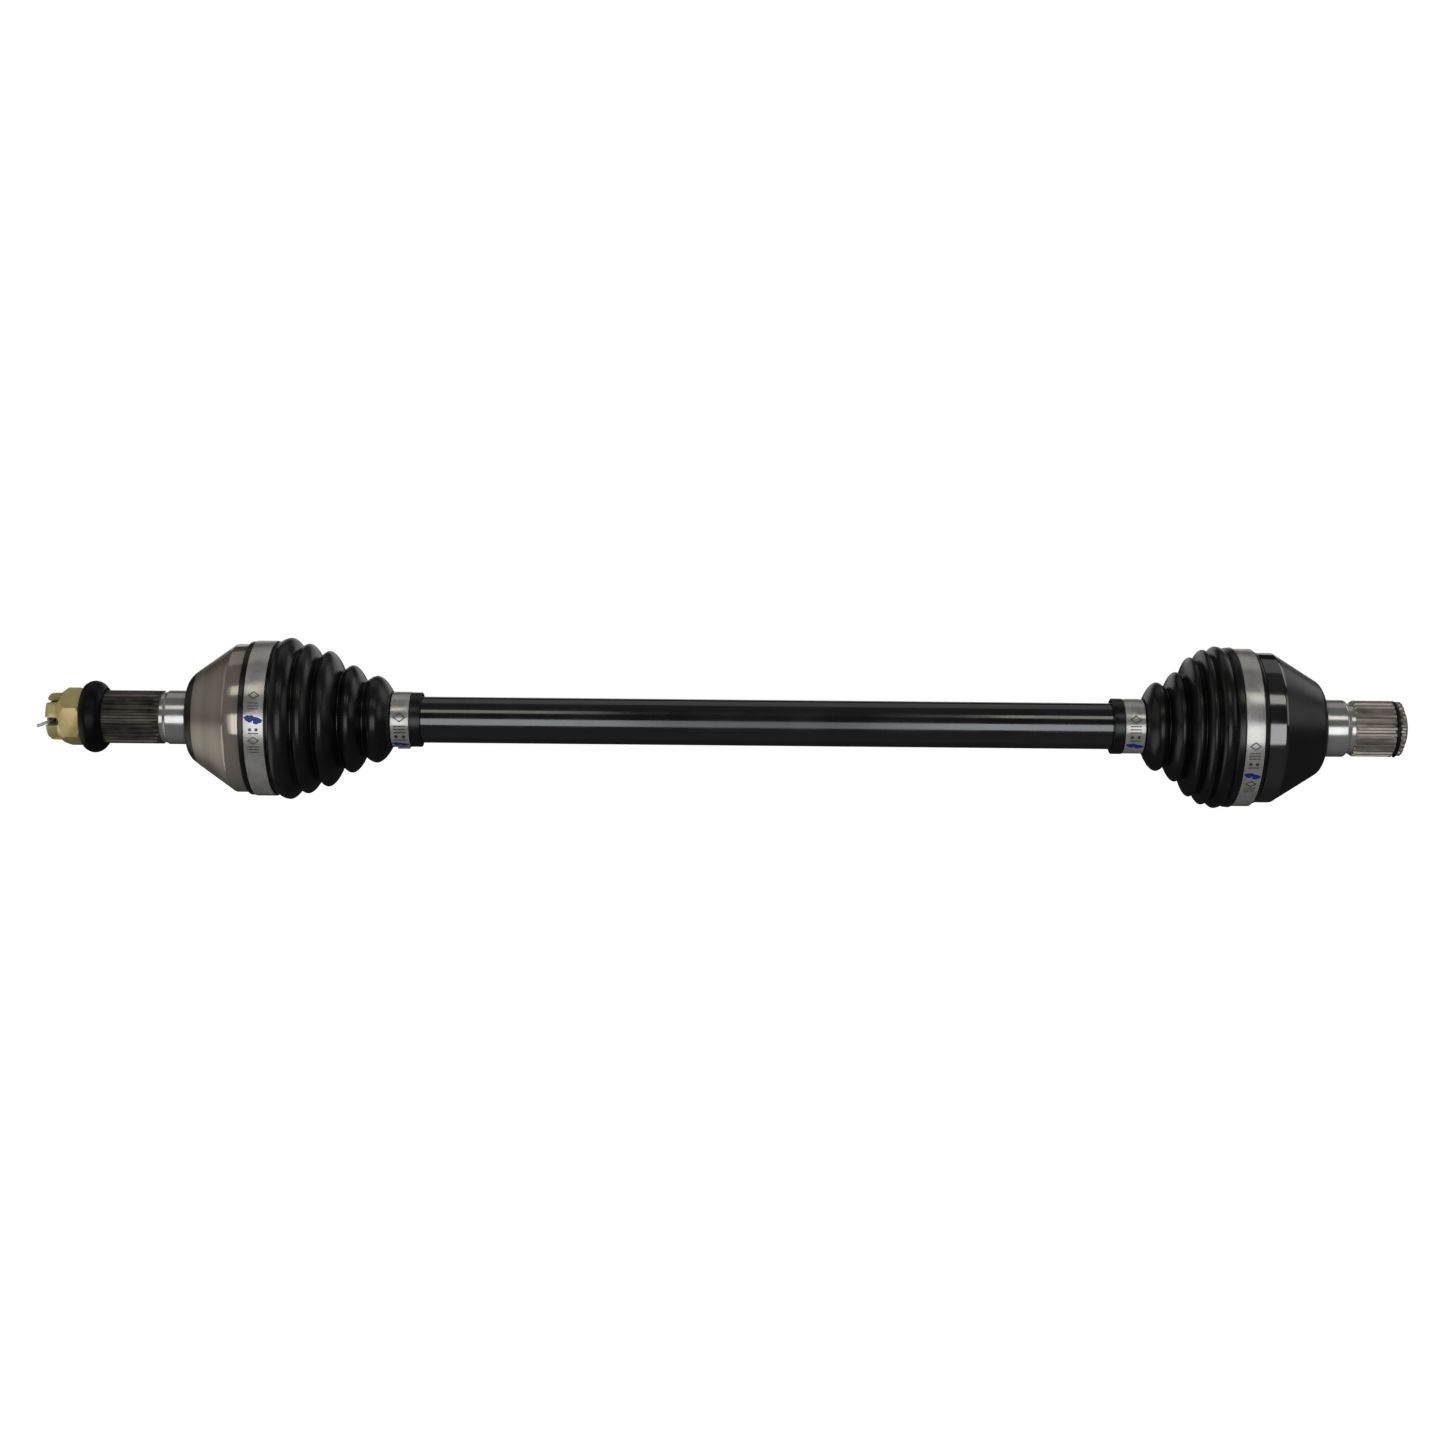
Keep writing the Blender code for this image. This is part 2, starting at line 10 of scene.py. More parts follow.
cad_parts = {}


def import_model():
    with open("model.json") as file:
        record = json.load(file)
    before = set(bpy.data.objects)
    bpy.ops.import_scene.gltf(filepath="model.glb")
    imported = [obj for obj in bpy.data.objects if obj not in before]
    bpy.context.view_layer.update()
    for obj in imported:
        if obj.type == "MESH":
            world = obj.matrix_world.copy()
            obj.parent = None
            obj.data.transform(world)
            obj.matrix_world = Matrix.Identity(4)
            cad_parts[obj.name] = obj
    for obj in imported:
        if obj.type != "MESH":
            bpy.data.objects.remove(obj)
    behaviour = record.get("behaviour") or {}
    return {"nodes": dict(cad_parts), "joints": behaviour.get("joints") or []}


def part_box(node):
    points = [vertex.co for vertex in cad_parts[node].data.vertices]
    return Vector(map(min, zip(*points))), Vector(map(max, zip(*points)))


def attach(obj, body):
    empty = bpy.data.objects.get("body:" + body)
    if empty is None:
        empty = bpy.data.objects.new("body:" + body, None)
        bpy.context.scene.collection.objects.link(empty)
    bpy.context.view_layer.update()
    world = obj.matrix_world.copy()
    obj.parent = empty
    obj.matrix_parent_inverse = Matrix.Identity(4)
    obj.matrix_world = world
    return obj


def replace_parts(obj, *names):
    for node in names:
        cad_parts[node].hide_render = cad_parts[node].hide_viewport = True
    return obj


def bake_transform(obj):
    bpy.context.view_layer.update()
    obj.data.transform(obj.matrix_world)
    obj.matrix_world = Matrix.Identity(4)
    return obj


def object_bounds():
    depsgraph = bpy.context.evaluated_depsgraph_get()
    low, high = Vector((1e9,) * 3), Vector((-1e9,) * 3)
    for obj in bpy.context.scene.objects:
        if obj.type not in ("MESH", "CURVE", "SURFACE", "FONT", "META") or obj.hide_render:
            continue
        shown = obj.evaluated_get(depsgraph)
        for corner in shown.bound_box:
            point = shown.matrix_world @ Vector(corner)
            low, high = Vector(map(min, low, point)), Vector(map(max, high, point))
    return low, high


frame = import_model()
CAD_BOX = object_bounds()

MM = 0.001
SIDES = 144  # around every large turned piece
JOINTS = {joint["name"]: joint for joint in frame["joints"]}
WHEEL_FORGING = ("outer_housing", "outer_housing")  # body and CAD node
GEARBOX_FORGING = ("inner_housing", "inner_housing")
OUTER_CENTRE = JOINTS["outer_dip"]["pos_m"][0] / MM
SLOT_TILT = math.radians(14)  # the cotter pin's slot lies this far below the front
PIN_X = -375.8
PIN_HOLE = 2.15  # radius


def ends(node):
    """Where a node starts and ends along the axle, in millimetres."""
    low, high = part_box(node)
    return low[0] / MM, high[0] / MM


# ---------------------------------------------------------------- materials


class Shader:
    """A Principled material that is built up node by node."""

    def __init__(self, name, slot, colour, roughness, metallic=0.0, **sockets):
        self.slot = slot
        self.made = bpy.data.materials.new(name)
        self.made.use_nodes = True
        self.tree = self.made.node_tree
        self.principled = self.tree.nodes["Principled BSDF"]
        self.socket("Base Color", (*colour, 1))
        self.socket("Roughness", roughness)
        self.socket("Metallic", metallic)
        for socket, value in sockets.items():
            self.socket(socket.replace("_", " "), value)
        self.place = self.tree.nodes.new("ShaderNodeTexCoord").outputs["Object"]
        self.height = None

    def socket(self, name, value):
        self.principled.inputs[name].default_value = value

    def add(self, kind, **inputs):
        node = self.tree.nodes.new(kind)
        for name, value in inputs.items():
            self.feed(node.inputs[name.replace("_", " ")], value)
        return node

    def feed(self, socket, value):
        if isinstance(value, bpy.types.NodeSocket):
            self.tree.links.new(value, socket)
        else:
            socket.default_value = value

    def stretched(self, scale):
        """Object coordinates, scaled differently along and across the axle."""
        mapping = self.add("ShaderNodeMapping", Vector=self.place, Scale=scale)
        return mapping.outputs["Vector"]

    def noise(self, scale, detail=2.0, stretch=(1, 1, 1), roughness=0.5):
        """Noise in the object's own coordinates, so that it stays on the piece as it moves."""
        place = self.stretched(stretch)
        node = self.add("ShaderNodeTexNoise", Vector=place, Scale=scale, Detail=detail, Roughness=roughness)
        return node.outputs["Fac"]

    def spread(self, value, low, high, start=0.3, end=0.7):
        """Maps start..end of a value to low..high."""
        node = self.add("ShaderNodeMapRange", Value=value)
        for name, number in (("From Min", start), ("From Max", end), ("To Min", low), ("To Max", high)):
            node.inputs[name].default_value = number
        return node.outputs["Result"]

    def ramp(self, value, *stops):
        """A colour ramp through (position, colour) stops."""
        node = self.add("ShaderNodeValToRGB", Fac=value)
        elements = node.color_ramp.elements
        while len(elements) < len(stops):
            elements.new(0.5)
        for element, (at, colour) in zip(elements, stops):
            element.position = at
            element.color = (*colour, 1)
        return node.outputs["Color"]

    def blend(self, factor, first, second):
        """A colour mixed from two others; each is a socket or a plain colour."""
        node = self.tree.nodes.new("ShaderNodeMix")
        node.data_type = "RGBA"
        self.feed(node.inputs["Factor"], factor)
        for socket, value in ((node.inputs[6], first), (node.inputs[7], second)):
            self.feed(socket, value if isinstance(value, bpy.types.NodeSocket) else (*value, 1))
        return node.outputs[2]

    def bump(self, value, depth_mm, strength=1.0):
        """Adds relief; later calls lie on top of earlier ones."""
        node = self.add("ShaderNodeBump", Height=value, Strength=strength, Distance=depth_mm * MM)
        if self.height:
            self.tree.links.new(self.height, node.inputs["Normal"])
        self.height = node.outputs["Normal"]
        self.tree.links.new(self.height, self.principled.inputs["Normal"])

    def wire(self, name, value):
        self.tree.links.new(value, self.principled.inputs[name])


ALONG_LINES = (1, 0.02, 0.02)  # stretches noise round the axle, so that it varies only along it


def turned_metal(name, slot, dark, light, roughness, lines_mm, relief_mm, stain=0.35, metallic=0.62):
    """Machined steel: fine tool lines round the axle, and faint handling stains."""
    shader = Shader(name, slot, light, roughness, metallic, Anisotropic=0.35)
    lines = shader.noise(1 / (lines_mm * MM), 3.0, ALONG_LINES, 0.7)
    bands = shader.noise(120, 2.0, ALONG_LINES)
    stains = shader.noise(45, 4.0)
    banded = shader.ramp(bands, (0.3, dark), (0.7, light))
    stained = shader.ramp(stains, (0.35, dark), (0.65, light))
    shader.wire("Base Color", shader.blend(stain, banded, stained))
    shader.wire("Roughness", shader.spread(stains, roughness - 0.05, roughness + 0.09))
    shader.bump(lines, relief_mm)
    return shader


def black_paint(name, roughness, wave_mm, ior=1.5):
    """Sprayed black enamel with a faint orange peel."""
    shader = Shader(name, "black_paint", (0.004, 0.004, 0.0045), roughness, 0.0, IOR=ior)
    peel = shader.noise(420, 2.0)
    clouds = shader.noise(30, 3.0)
    tint = shader.ramp(clouds, (0.3, (0.0025, 0.0025, 0.003)), (0.75, (0.006, 0.006, 0.0065)))
    shader.wire("Base Color", tint)
    shader.wire("Roughness", shader.spread(clouds, roughness - 0.04, roughness + 0.05))
    shader.bump(peel, wave_mm)
    return shader


def rubber():
    """Satin moulded rubber: a fine grain, a dusty bloom and soft flow marks."""
    shader = Shader("boot_rubber", "rubber", (0.005, 0.005, 0.005), 0.3, 0.0, IOR=1.55)
    grain = shader.noise(2600, 3.0)
    bloom = shader.noise(60, 5.0, (1, 1, 1), 0.6)
    rings = shader.noise(500, 2.0, ALONG_LINES)
    tint = shader.ramp(bloom, (0.3, (0.0025, 0.0027, 0.0027)), (0.75, (0.009, 0.009, 0.0085)))
    shader.wire("Base Color", tint)
    shader.wire("Roughness", shader.spread(bloom, 0.22, 0.36))
    shader.bump(rings, 0.03)
    shader.bump(grain, 0.012)
    return shader


def zinc():
    """Yellow chromate on steel: gold that drifts to green and pink."""
    shader = Shader("nut_yellow_zinc", "yellow_zinc", (0.7, 0.6, 0.3), 0.36, 0.5)
    drift = shader.noise(75, 3.0, (1, 1, 1), 0.55)
    tint = shader.ramp(
        drift, (0.28, (0.80, 0.82, 0.42)), (0.42, (0.93, 0.81, 0.37)), (0.55, (0.88, 0.68, 0.26)),
        (0.66, (0.95, 0.69, 0.40)), (0.78, (0.90, 0.85, 0.50)),
    )
    shader.wire("Base Color", tint)
    shader.wire("Roughness", shader.spread(shader.noise(260, 4.0), 0.28, 0.5))
    shader.bump(shader.noise(700, 3.0), 0.03)
    return shader


def oxide(name, slot, colour, roughness, metallic=0.5, ior=1.5):
    """Black phosphated steel with a slightly mottled skin."""
    shader = Shader(name, slot, colour, roughness, metallic, IOR=ior)
    mottle = shader.noise(240, 4.0)
    pale = tuple(c * 1.9 for c in colour)
    shader.wire("Base Color", shader.ramp(mottle, (0.35, colour), (0.75, pale)))
    shader.wire("Roughness", shader.spread(mottle, roughness - 0.06, roughness + 0.1))
    shader.bump(mottle, 0.03)
    return shader


def oiled_spline(name, slot, dark, light):
    """Rolled spline teeth with oil and oxide left in the roots."""
    shader = Shader(name, slot, light, 0.38, 0.7)
    film = shader.noise(160, 4.0, (0.5, 1, 1), 0.6)
    shader.wire("Base Color", shader.ramp(film, (0.3, dark), (0.72, light)))
    shader.wire("Roughness", shader.spread(film, 0.3, 0.5))
    shader.bump(shader.noise(900, 3.0), 0.02)
    return shader


def strip_steel():
    """Rolled stainless strip, brushed along its length."""
    shader = Shader("clamp_stainless", "stainless", (0.74, 0.72, 0.68), 0.24, 0.55, Anisotropic=0.4)
    brushed = shader.noise(3500, 3.0, ALONG_LINES, 0.7)
    marks = shader.noise(110, 4.0)
    shader.wire("Base Color", shader.ramp(marks, (0.3, (0.60, 0.58, 0.54)), (0.7, (0.82, 0.80, 0.755))))
    shader.wire("Roughness", shader.spread(marks, 0.2, 0.33))
    shader.bump(brushed, 0.012)
    shader.bump(shader.noise(420, 3.0), 0.03)
    return shader


def paint_dab():
    """Blue marking paint, streaked by the brush."""
    shader = Shader("marking_paint", "stainless", (0.01, 0.03, 0.35), 0.4)
    streaks = shader.noise(900, 3.0, (0.2, 1, 1))
    shader.wire("Base Color", shader.ramp(streaks, (0.3, (0.006, 0.014, 0.20)), (0.7, (0.02, 0.06, 0.55))))
    shader.bump(streaks, 0.03)
    return shader


def etched():
    """The dark, worn floor of a stamped mark."""
    shader = Shader("stamped_mark", "stainless", (0.10, 0.095, 0.085), 0.5, 0.8)
    worn = shader.noise(1500, 3.0)
    shader.wire("Base Color", shader.ramp(worn, (0.3, (0.045, 0.04, 0.035)), (0.7, (0.20, 0.19, 0.17))))
    return shader


# Each turned metal has a dark and a light colour, its roughness, and the width and depth of its tool lines.
BELL = turned_metal(
    "bell_turned_steel", "turned_steel", (0.34, 0.295, 0.235), (0.50, 0.45, 0.385), 0.36, 0.45, 0.02
)
BELL_BAND = turned_metal(
    "bell_ground_band", "turned_steel", (0.44, 0.385, 0.31), (0.66, 0.60, 0.52), 0.13, 0.3, 0.004, 0.25
)
# The rear edge's near-black colours are painted shade: the dark reflection of the unlit side, painted into
# the steel.
BELL_EDGE_SHADE = turned_metal(
    "bell_edge_painted_shade", "turned_steel", (0.025, 0.022, 0.022), (0.075, 0.07, 0.07), 0.34, 0.5, 0.01
)
JOURNAL = turned_metal(
    "ground_journal", "turned_steel", (0.60, 0.585, 0.565), (0.78, 0.77, 0.76), 0.19, 0.25, 0.005, 0.2, 0.72
)
SPLINE = oiled_spline("outer_spline_steel", "turned_steel", (0.05, 0.045, 0.037), (0.17, 0.155, 0.13))
THREAD = oiled_spline("thread_steel", "turned_steel", (0.20, 0.19, 0.17), (0.45, 0.43, 0.40))
INNER_TEETH = oiled_spline("inner_spline_steel", "turned_steel", (0.30, 0.265, 0.225), (0.62, 0.57, 0.51))
GLOSS = black_paint("bar_black_gloss", 0.14, 0.01, 2.1)
BELL_BLACK = black_paint("cup_black_gloss", 0.1, 0.006, 2.5)
BELL_SATIN = black_paint("cup_black_satin", 0.34, 0.02, 1.7)
RUBBER = rubber()
ZINC = zinc()
WASHER_BLACK = oxide("washer_phosphate", "black_washer", (0.002, 0.002, 0.0025), 0.4, 0.0, 1.32)
SPRING = oxide("snap_ring_phosphate", "spring_steel", (0.004, 0.004, 0.005), 0.4, 0.0, 1.4)
STRIP = strip_steel()
WIRE = turned_metal(
    "cotter_wire", "bright_wire", (0.62, 0.61, 0.60), (0.80, 0.79, 0.78), 0.24, 0.6, 0.01, 0.5
)
RACE = turned_metal(
    "race_ground_steel", "race_steel", (0.45, 0.44, 0.42), (0.6, 0.59, 0.57), 0.25, 0.3, 0.006
)
BALL = turned_metal(
    "ball_polished_steel", "ball_steel", (0.70, 0.70, 0.71), (0.80, 0.80, 0.81), 0.1, 0.4, 0.001, 0.5
)
PAINT_DAB = paint_dab()
ETCHED = etched()


# ---------------------------------------------------------------- mesh tools


def rounded(points, pieces=5):
    """An outline of (x, r, fillet) points, with an arc at each corner that has a fillet."""
    done = []
    for index, (x, r, *fillet) in enumerate(points):
        corner = Vector((x, r))
        size = fillet[0] if fillet else 0
        if not size or index in (0, len(points) - 1):
            done.append((x, r))
            continue
        before = Vector(points[index - 1][:2]) - corner
        after = Vector(points[index + 1][:2]) - corner
        reach = min(size, before.length * 0.49, after.length * 0.49)
        start, end = corner + before.normalized() * reach, corner + after.normalized() * reach
        for step in range(pieces + 1):
            t = step / pieces
            done.append(tuple(start * (1 - t) ** 2 + corner * 2 * t * (1 - t) + end * t * t))
    return done


def smooth_line(points, pieces=6):
    """A Catmull-Rom curve through the given points."""
    line = []
    for i in range(len(points) - 1):
        p0, p1 = Vector(points[max(i - 1, 0)]), Vector(points[i])
        p2, p3 = Vector(points[i + 1]), Vector(points[min(i + 2, len(points) - 1)])
        for step in range(pieces):
            t = step / pieces
            line.append(tuple(
                0.5 * (2 * p1 + (p2 - p0) * t + (2 * p0 - 5 * p1 + 4 * p2 - p3) * t * t
                       + (3 * p1 - p0 - 3 * p2 + p3) * t ** 3)
            ))
    return line + [tuple(points[-1])]


def new_piece(name, form, shader, sharp_degrees=32):
    """An object in the scene from a bmesh, smooth except across edges sharper than sharp_degrees."""
    bmesh.ops.recalc_face_normals(form, faces=form.faces)
    mesh = bpy.data.meshes.new(name)
    form.to_mesh(mesh)
    form.free()
    mesh.shade_smooth()
    mesh.set_sharp_from_angle(angle=math.radians(sharp_degrees))
    mesh.materials.append(shader.made)
    piece = bpy.data.objects.new(name, mesh)
    bpy.context.scene.collection.objects.link(piece)
    return piece


def surface(rings, close_last=False):
    """Joins rings of points; a ring of one point is a pole. close_last joins the last ring to the first."""
    form = bmesh.new()
    rows = [[form.verts.new(Vector(p) * MM) for p in ring] for ring in rings]
    pairs = list(zip(rows, rows[1:]))
    if close_last:
        pairs.append((rows[-1], rows[0]))
    for first, second in pairs:
        count = max(len(first), len(second))
        for i in range(count):
            j = (i + 1) % count
            corners = [row[k % len(row)] for row, k in ((first, i), (first, j), (second, j), (second, i))]
            unique = list(dict.fromkeys(corners))
            if len(unique) > 2:
                form.faces.new(unique)
    return form


def ring(x, r, sides):
    """A circle of points round the axle, or one point where the radius is nil."""
    if r < 0.001:
        return [(x, 0, 0)]
    return [(x, r * math.cos(a), r * math.sin(a)) for a in (math.tau * i / sides for i in range(sides))]


def turned(name, outline, shader, closed=False, sides=SIDES):
    """A piece turned about the axle from an outline of (x, r) points."""
    return new_piece(name, surface([ring(x, r, sides) for x, r in outline], closed), shader)


def toothed(name, start, end, tip, root, teeth, shader, run_in, run_out, samples=12):
    """A splined length of shaft. Teeth start over run_in and fade out over run_out, in millimetres."""
    flat, steep = 1.9, 5.6  # a wider flat top, and steeper flanks, as these grow
    sunk = 0.35  # the shaft beyond the teeth lies this far below their tips
    stations = [start, start + 0.02]
    stations += [start + run_in * i / 3 for i in range(1, 4)]
    stations += [end - run_out * (1 - i / 6) for i in range(7)]
    rings = [[(start, 0, 0)]]
    count = teeth * samples
    for x in stations:
        grow = min(1.0, max(0.0, (x - start) / run_in))
        fade = min(1.0, max(0.0, (end - x) / run_out))
        points = []
        for i in range(count):
            phase = (i % samples) / samples
            tooth = min(1.0, max(0.0, flat - abs(phase - 0.5) * steep))
            tooth = tooth * tooth * (3 - 2 * tooth)
            floor = root + (tip - sunk - root) * (1 - fade) ** 1.6
            top = min(tip, root + 0.1 + (tip - root) * (0.35 + 0.65 * grow))
            r = floor + (top - floor) * tooth if top > floor else top
            angle = math.tau * i / count
            points.append((x, r * math.cos(angle), r * math.sin(angle)))
        rings.append(points)
    rings.append([(end, 0, 0)])
    return new_piece(name, surface(rings), shader, 50)


def threaded(name, start, end, major, pitch, shader, sides=72):
    """An ISO-like thread as a finely ridged surface whose ridges climb round the shaft."""
    depth = 0.6 * pitch
    rows_per_pitch, flat, steep = 9, 1.25, 2.6
    chamfer, chamfer_length = 1.7, 1.6
    count = int((end - start) / pitch * rows_per_pitch)
    rings = [[(start, 0, 0)]]
    for row in range(count + 1):
        x = start + (end - start) * row / count
        lead = min(1.0, (x - start) / chamfer_length)
        points = []
        for i in range(sides):
            phase = (x / pitch + i / sides) % 1.0
            ridge = min(1.0, max(0.0, flat - abs(phase - 0.5) * steep))
            r = major - depth + depth * ridge
            r = min(r, major - (1 - lead) * chamfer)
            angle = math.tau * i / sides
            points.append((x, r * math.cos(angle), r * math.sin(angle)))
        rings.append(points)
    rings.append([(end, 0, 0)])
    return new_piece(name, surface(rings), shader, 40)


def finished(piece, body, *nodes):
    """The piece moves with a body and stands for CAD nodes."""
    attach(piece, body)
    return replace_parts(piece, *nodes)


def applied(thing):
    """Applies every modifier of an object to its mesh."""
    bpy.context.view_layer.update()
    graph = bpy.context.evaluated_depsgraph_get()
    mesh = bpy.data.meshes.new_from_object(thing.evaluated_get(graph))
    old, thing.data = thing.data, mesh
    thing.modifiers.clear()
    bpy.data.meshes.remove(old)
    return thing


def boolean(thing, other, operation):
    """Joins, cuts or trims a piece with another, which is used up."""
    modifier = thing.modifiers.new(operation, "BOOLEAN")
    modifier.operation = operation
    modifier.object = other
    applied(thing)
    bpy.data.objects.remove(other)


def bevelled(thing, width_mm, segments=3, angle=30):
    """Rounds the edges that are sharper than angle, in degrees."""
    modifier = thing.modifiers.new("edges", "BEVEL")
    modifier.width = width_mm * MM
    modifier.segments = segments
    modifier.limit_method = "ANGLE"
    modifier.angle_limit = math.radians(angle)
    modifier.use_clamp_overlap = True
    applied(thing)
    thing.data.shade_smooth()
    thing.data.set_sharp_from_angle(angle=math.radians(40))
    return thing


def block(centre, size, turn):
    """A box, turned about the axle after it is placed."""
    form = bmesh.new()
    bmesh.ops.create_cube(form, size=1)
    bmesh.ops.scale(form, vec=[s * MM for s in size], verts=form.verts)
    bmesh.ops.translate(form, vec=[c * MM for c in centre], verts=form.verts)
    bmesh.ops.rotate(form, matrix=Matrix.Rotation(turn, 3, "X"), verts=form.verts)
    return form


def rod(centre, radius, length, turn, segments):
    """A cylinder along Y, turned about the axle after it is placed."""
    form = bmesh.new()
    round_end = {"segments": segments, "radius1": radius * MM, "radius2": radius * MM}
    bmesh.ops.create_cone(form, cap_ends=True, depth=length * MM, **round_end)
    bmesh.ops.rotate(form, matrix=Matrix.Rotation(math.pi / 2, 3, "X"), verts=form.verts)
    bmesh.ops.translate(form, vec=[c * MM for c in centre], verts=form.verts)
    bmesh.ops.rotate(form, matrix=Matrix.Rotation(turn, 3, "X"), verts=form.verts)
    return form


# ---------------------------------------------------------------- bar and wheel end


def bar():
    """A gloss black bar with thinner, chamfered seats for the inner races."""
    low, high = ends("axle_bar")
    shaft, seat, neck, chamfer = 13.0, 11.0, 11.5, 0.8
    outline = rounded([
        (low, 0), (low, seat - chamfer), (low + chamfer, seat, 0.4),
        (-253.8, seat), (-253.8, neck, 0.3), (-243.0, neck, 2), (-238.0, shaft, 2),
        (262.0, shaft, 2), (268.0, seat, 2),
        (high - chamfer, seat, 0.4), (high, seat - chamfer), (high, 0),
    ])
    finished(turned("bar", outline, GLOSS), "bar", "axle_bar")


def wheel_bell():
    """A ground band, a turned cone, its rear edge, coloured near-black as painted shade, and the journal
    behind it.

    The six ball tracks are one round cavity here, which flares towards the mouth."""
    shoulder, floor, tracks = -300.0, -297.0, 34.9
    flare, mouth = OUTER_CENTRE + 10.2, OUTER_CENTRE + 17.6
    boot_seat, band_radius = 40.2, 41.75
    steps = [floor + (flare - floor) * i / 18 for i in range(19)]
    cavity = [(floor, 0)] + [(x, math.sqrt(tracks ** 2 - (x - OUTER_CENTRE) ** 2)) for x in steps]
    band = rounded([
        (mouth, 37.5), (mouth, boot_seat), (-261.5, boot_seat),
        (-261.5, band_radius, 0.4), (-272.9, band_radius),
    ])
    back = [(-273.9, 41.35), (-274.6, 40.8), (-274.4, 38.0), (-285.0, 31.4), (-292.0, 26.2), (-296.2, 20.5)]
    shell = cavity + band + back + [(-298.2, 18.5), (-298.2, 0)]
    finished(turned("wheel_bell_band", shell, BELL_BAND), *WHEEL_FORGING)
    cone = [(-274.2, 38.5), (-274.5, 40.87), (-294.4, 26.9), (-294.4, 23.5), (-285.0, 31.0)]
    finished(turned("wheel_bell_cone", cone, BELL, closed=True), *WHEEL_FORGING)
    # The rear edge is coloured near-black as painted shade.
    edge = rounded([
        (-293.6, 26.0), (-294.3, 26.85), (-297.8, 24.3, 2.4), (shoulder, 20.9, 1.8), (shoulder, 15.6, 0.5),
        (shoulder + 1.9, 14.5), (shoulder + 1.9, 18.2), (-293.6, 24.0),
    ])
    finished(turned("wheel_bell_rear_edge", edge, BELL_EDGE_SHADE, closed=True), *WHEEL_FORGING)
    journal = rounded([
        (shoulder + 2.2, 0), (shoulder + 2.2, 15.2), (-312.1, 15.2, 0.8), (-313.0, 14.3, 0.5),
        (-316.6, 14.2), (-316.6, 0),
    ])
    finished(turned("wheel_journal", journal, JOURNAL), *WHEEL_FORGING)


def wheel_stub():
    """The wheel end's spline, and its thread with the cross hole for the cotter pin."""
    spline = toothed("wheel_spline", -349.6, -315.4, 15.0, 13.9, 28, SPLINE, run_in=1.5, run_out=6.0)
    finished(spline, *WHEEL_FORGING)
    low = ends("outer_housing")[0]
    thread = threaded("wheel_thread", low, -347.0, 9.8, 1.5, THREAD)
    drill = rod((PIN_X, 0, 0), PIN_HOLE, 30, SLOT_TILT, 32)
    boolean(thread, new_piece("drill", drill, THREAD), "DIFFERENCE")
    finished(thread, *WHEEL_FORGING)


def hub_nut():
    """A castle nut: chamfered hexagon, round crown and six slots with rounded floors."""
    low, high = ends("castle_nut")
    step, flats, crown, bore = -372.6, 29.0, 13.3, 9.95
    slot_width, slot_depth, slot_reach, rim = 4.8, 5.8, 12, 14
    corner = flats / 2 / math.cos(math.pi / 6)
    angles = [math.pi + SLOT_TILT + math.pi / 6 + math.tau * i / 6 for i in range(6)]
    rings = [[(x, corner * math.cos(a), corner * math.sin(a)) for a in angles] for x in (high, step)]
    nut = new_piece("hub_nut", surface([[(high, 0, 0)], *rings, [(step, 0, 0)]]), ZINC)
    chamfer = [
        (high + 1, 0), (high + 1, corner - 1.6), (high - 1.4, corner), (step + 4.4, corner),
        (step + 0.2, crown + 0.3), (step - 1.2, crown - 0.4), (step - 1.2, 0),
    ]
    boolean(nut, turned("chamfer", chamfer, ZINC, sides=96), "INTERSECT")
    top = rounded([
        (step + 3, 0), (step + 3, crown), (step - 2, crown), (low, crown - 0.15, 2.2),
        (low, bore - 1), (low, 0),
    ], 6)
    boolean(nut, turned("crown", top, ZINC, sides=96), "UNION")
    hole = [
        (high + 2, 0), (high + 2, bore + 1.6), (high - 1.2, bore),
        (low + 1.2, bore), (low - 2, bore + 2.4), (low - 2, 0),
    ]
    boolean(nut, turned("bore", hole, ZINC, sides=96), "DIFFERENCE")
    for index in range(6):
        turn = SLOT_TILT + math.tau * index / 6
        slot = block((low, rim, 0), (2 * slot_depth, slot_reach, slot_width), turn)
        boolean(nut, new_piece("slot", slot, ZINC), "DIFFERENCE")
        slot_floor = rod((low + slot_depth, rim, 0), slot_width / 2, slot_reach, turn, 24)
        boolean(nut, new_piece("slot_floor", slot_floor, ZINC), "DIFFERENCE")
    finished(bevelled(nut, 0.35), "outer_housing", "castle_nut")


def thick_washer():
    """A rounded black washer, recessed to clear the end of the spline."""
    low, high = ends("hub_washer")
    bore, recess, recess_end, rim = 10.1, 15.3, -350.2, 20.3
    outline = rounded([
        (high, recess + 0.1), (high, 16.4, 0.4), (high - 2.2, 19.0, 1.8), (high - 5.2, rim, 3.0),
        (low + 4.4, rim, 3.2), (low + 1.3, 18.7, 2.0), (low, 16.5, 0.6), (low, bore, 0.3),
        (recess_end, bore, 0.3), (recess_end, recess, 0.2),
    ], 7)
    finished(turned("thick_washer", outline, WASHER_BLACK, closed=True), "outer_housing", "hub_washer")


def wire_piece(name, points, radius, shader, resolution=5):
    """A round wire along a smooth line."""
    curve = bpy.data.curves.new(name, "CURVE")
    curve.dimensions = "3D"
    curve.bevel_depth = radius * MM
    curve.bevel_resolution = resolution
    curve.use_fill_caps = True
    spline = curve.splines.new("POLY")
    spline.points.add(len(points) - 1)
    for point, at in zip(spline.points, points):
        point.co = (*(c * MM for c in at), 1)
    guide = bpy.data.objects.new(name, curve)
    bpy.context.scene.collection.objects.link(guide)
    bpy.context.view_layer.update()
    mesh = bpy.data.meshes.new_from_object(guide.evaluated_get(bpy.context.evaluated_depsgraph_get()))
    bpy.data.objects.remove(guide)
    form = bmesh.new()
    form.from_mesh(mesh)
    bmesh.ops.remove_doubles(form, verts=form.verts, dist=0.000001)
    return new_piece(name, form, shader, 50)


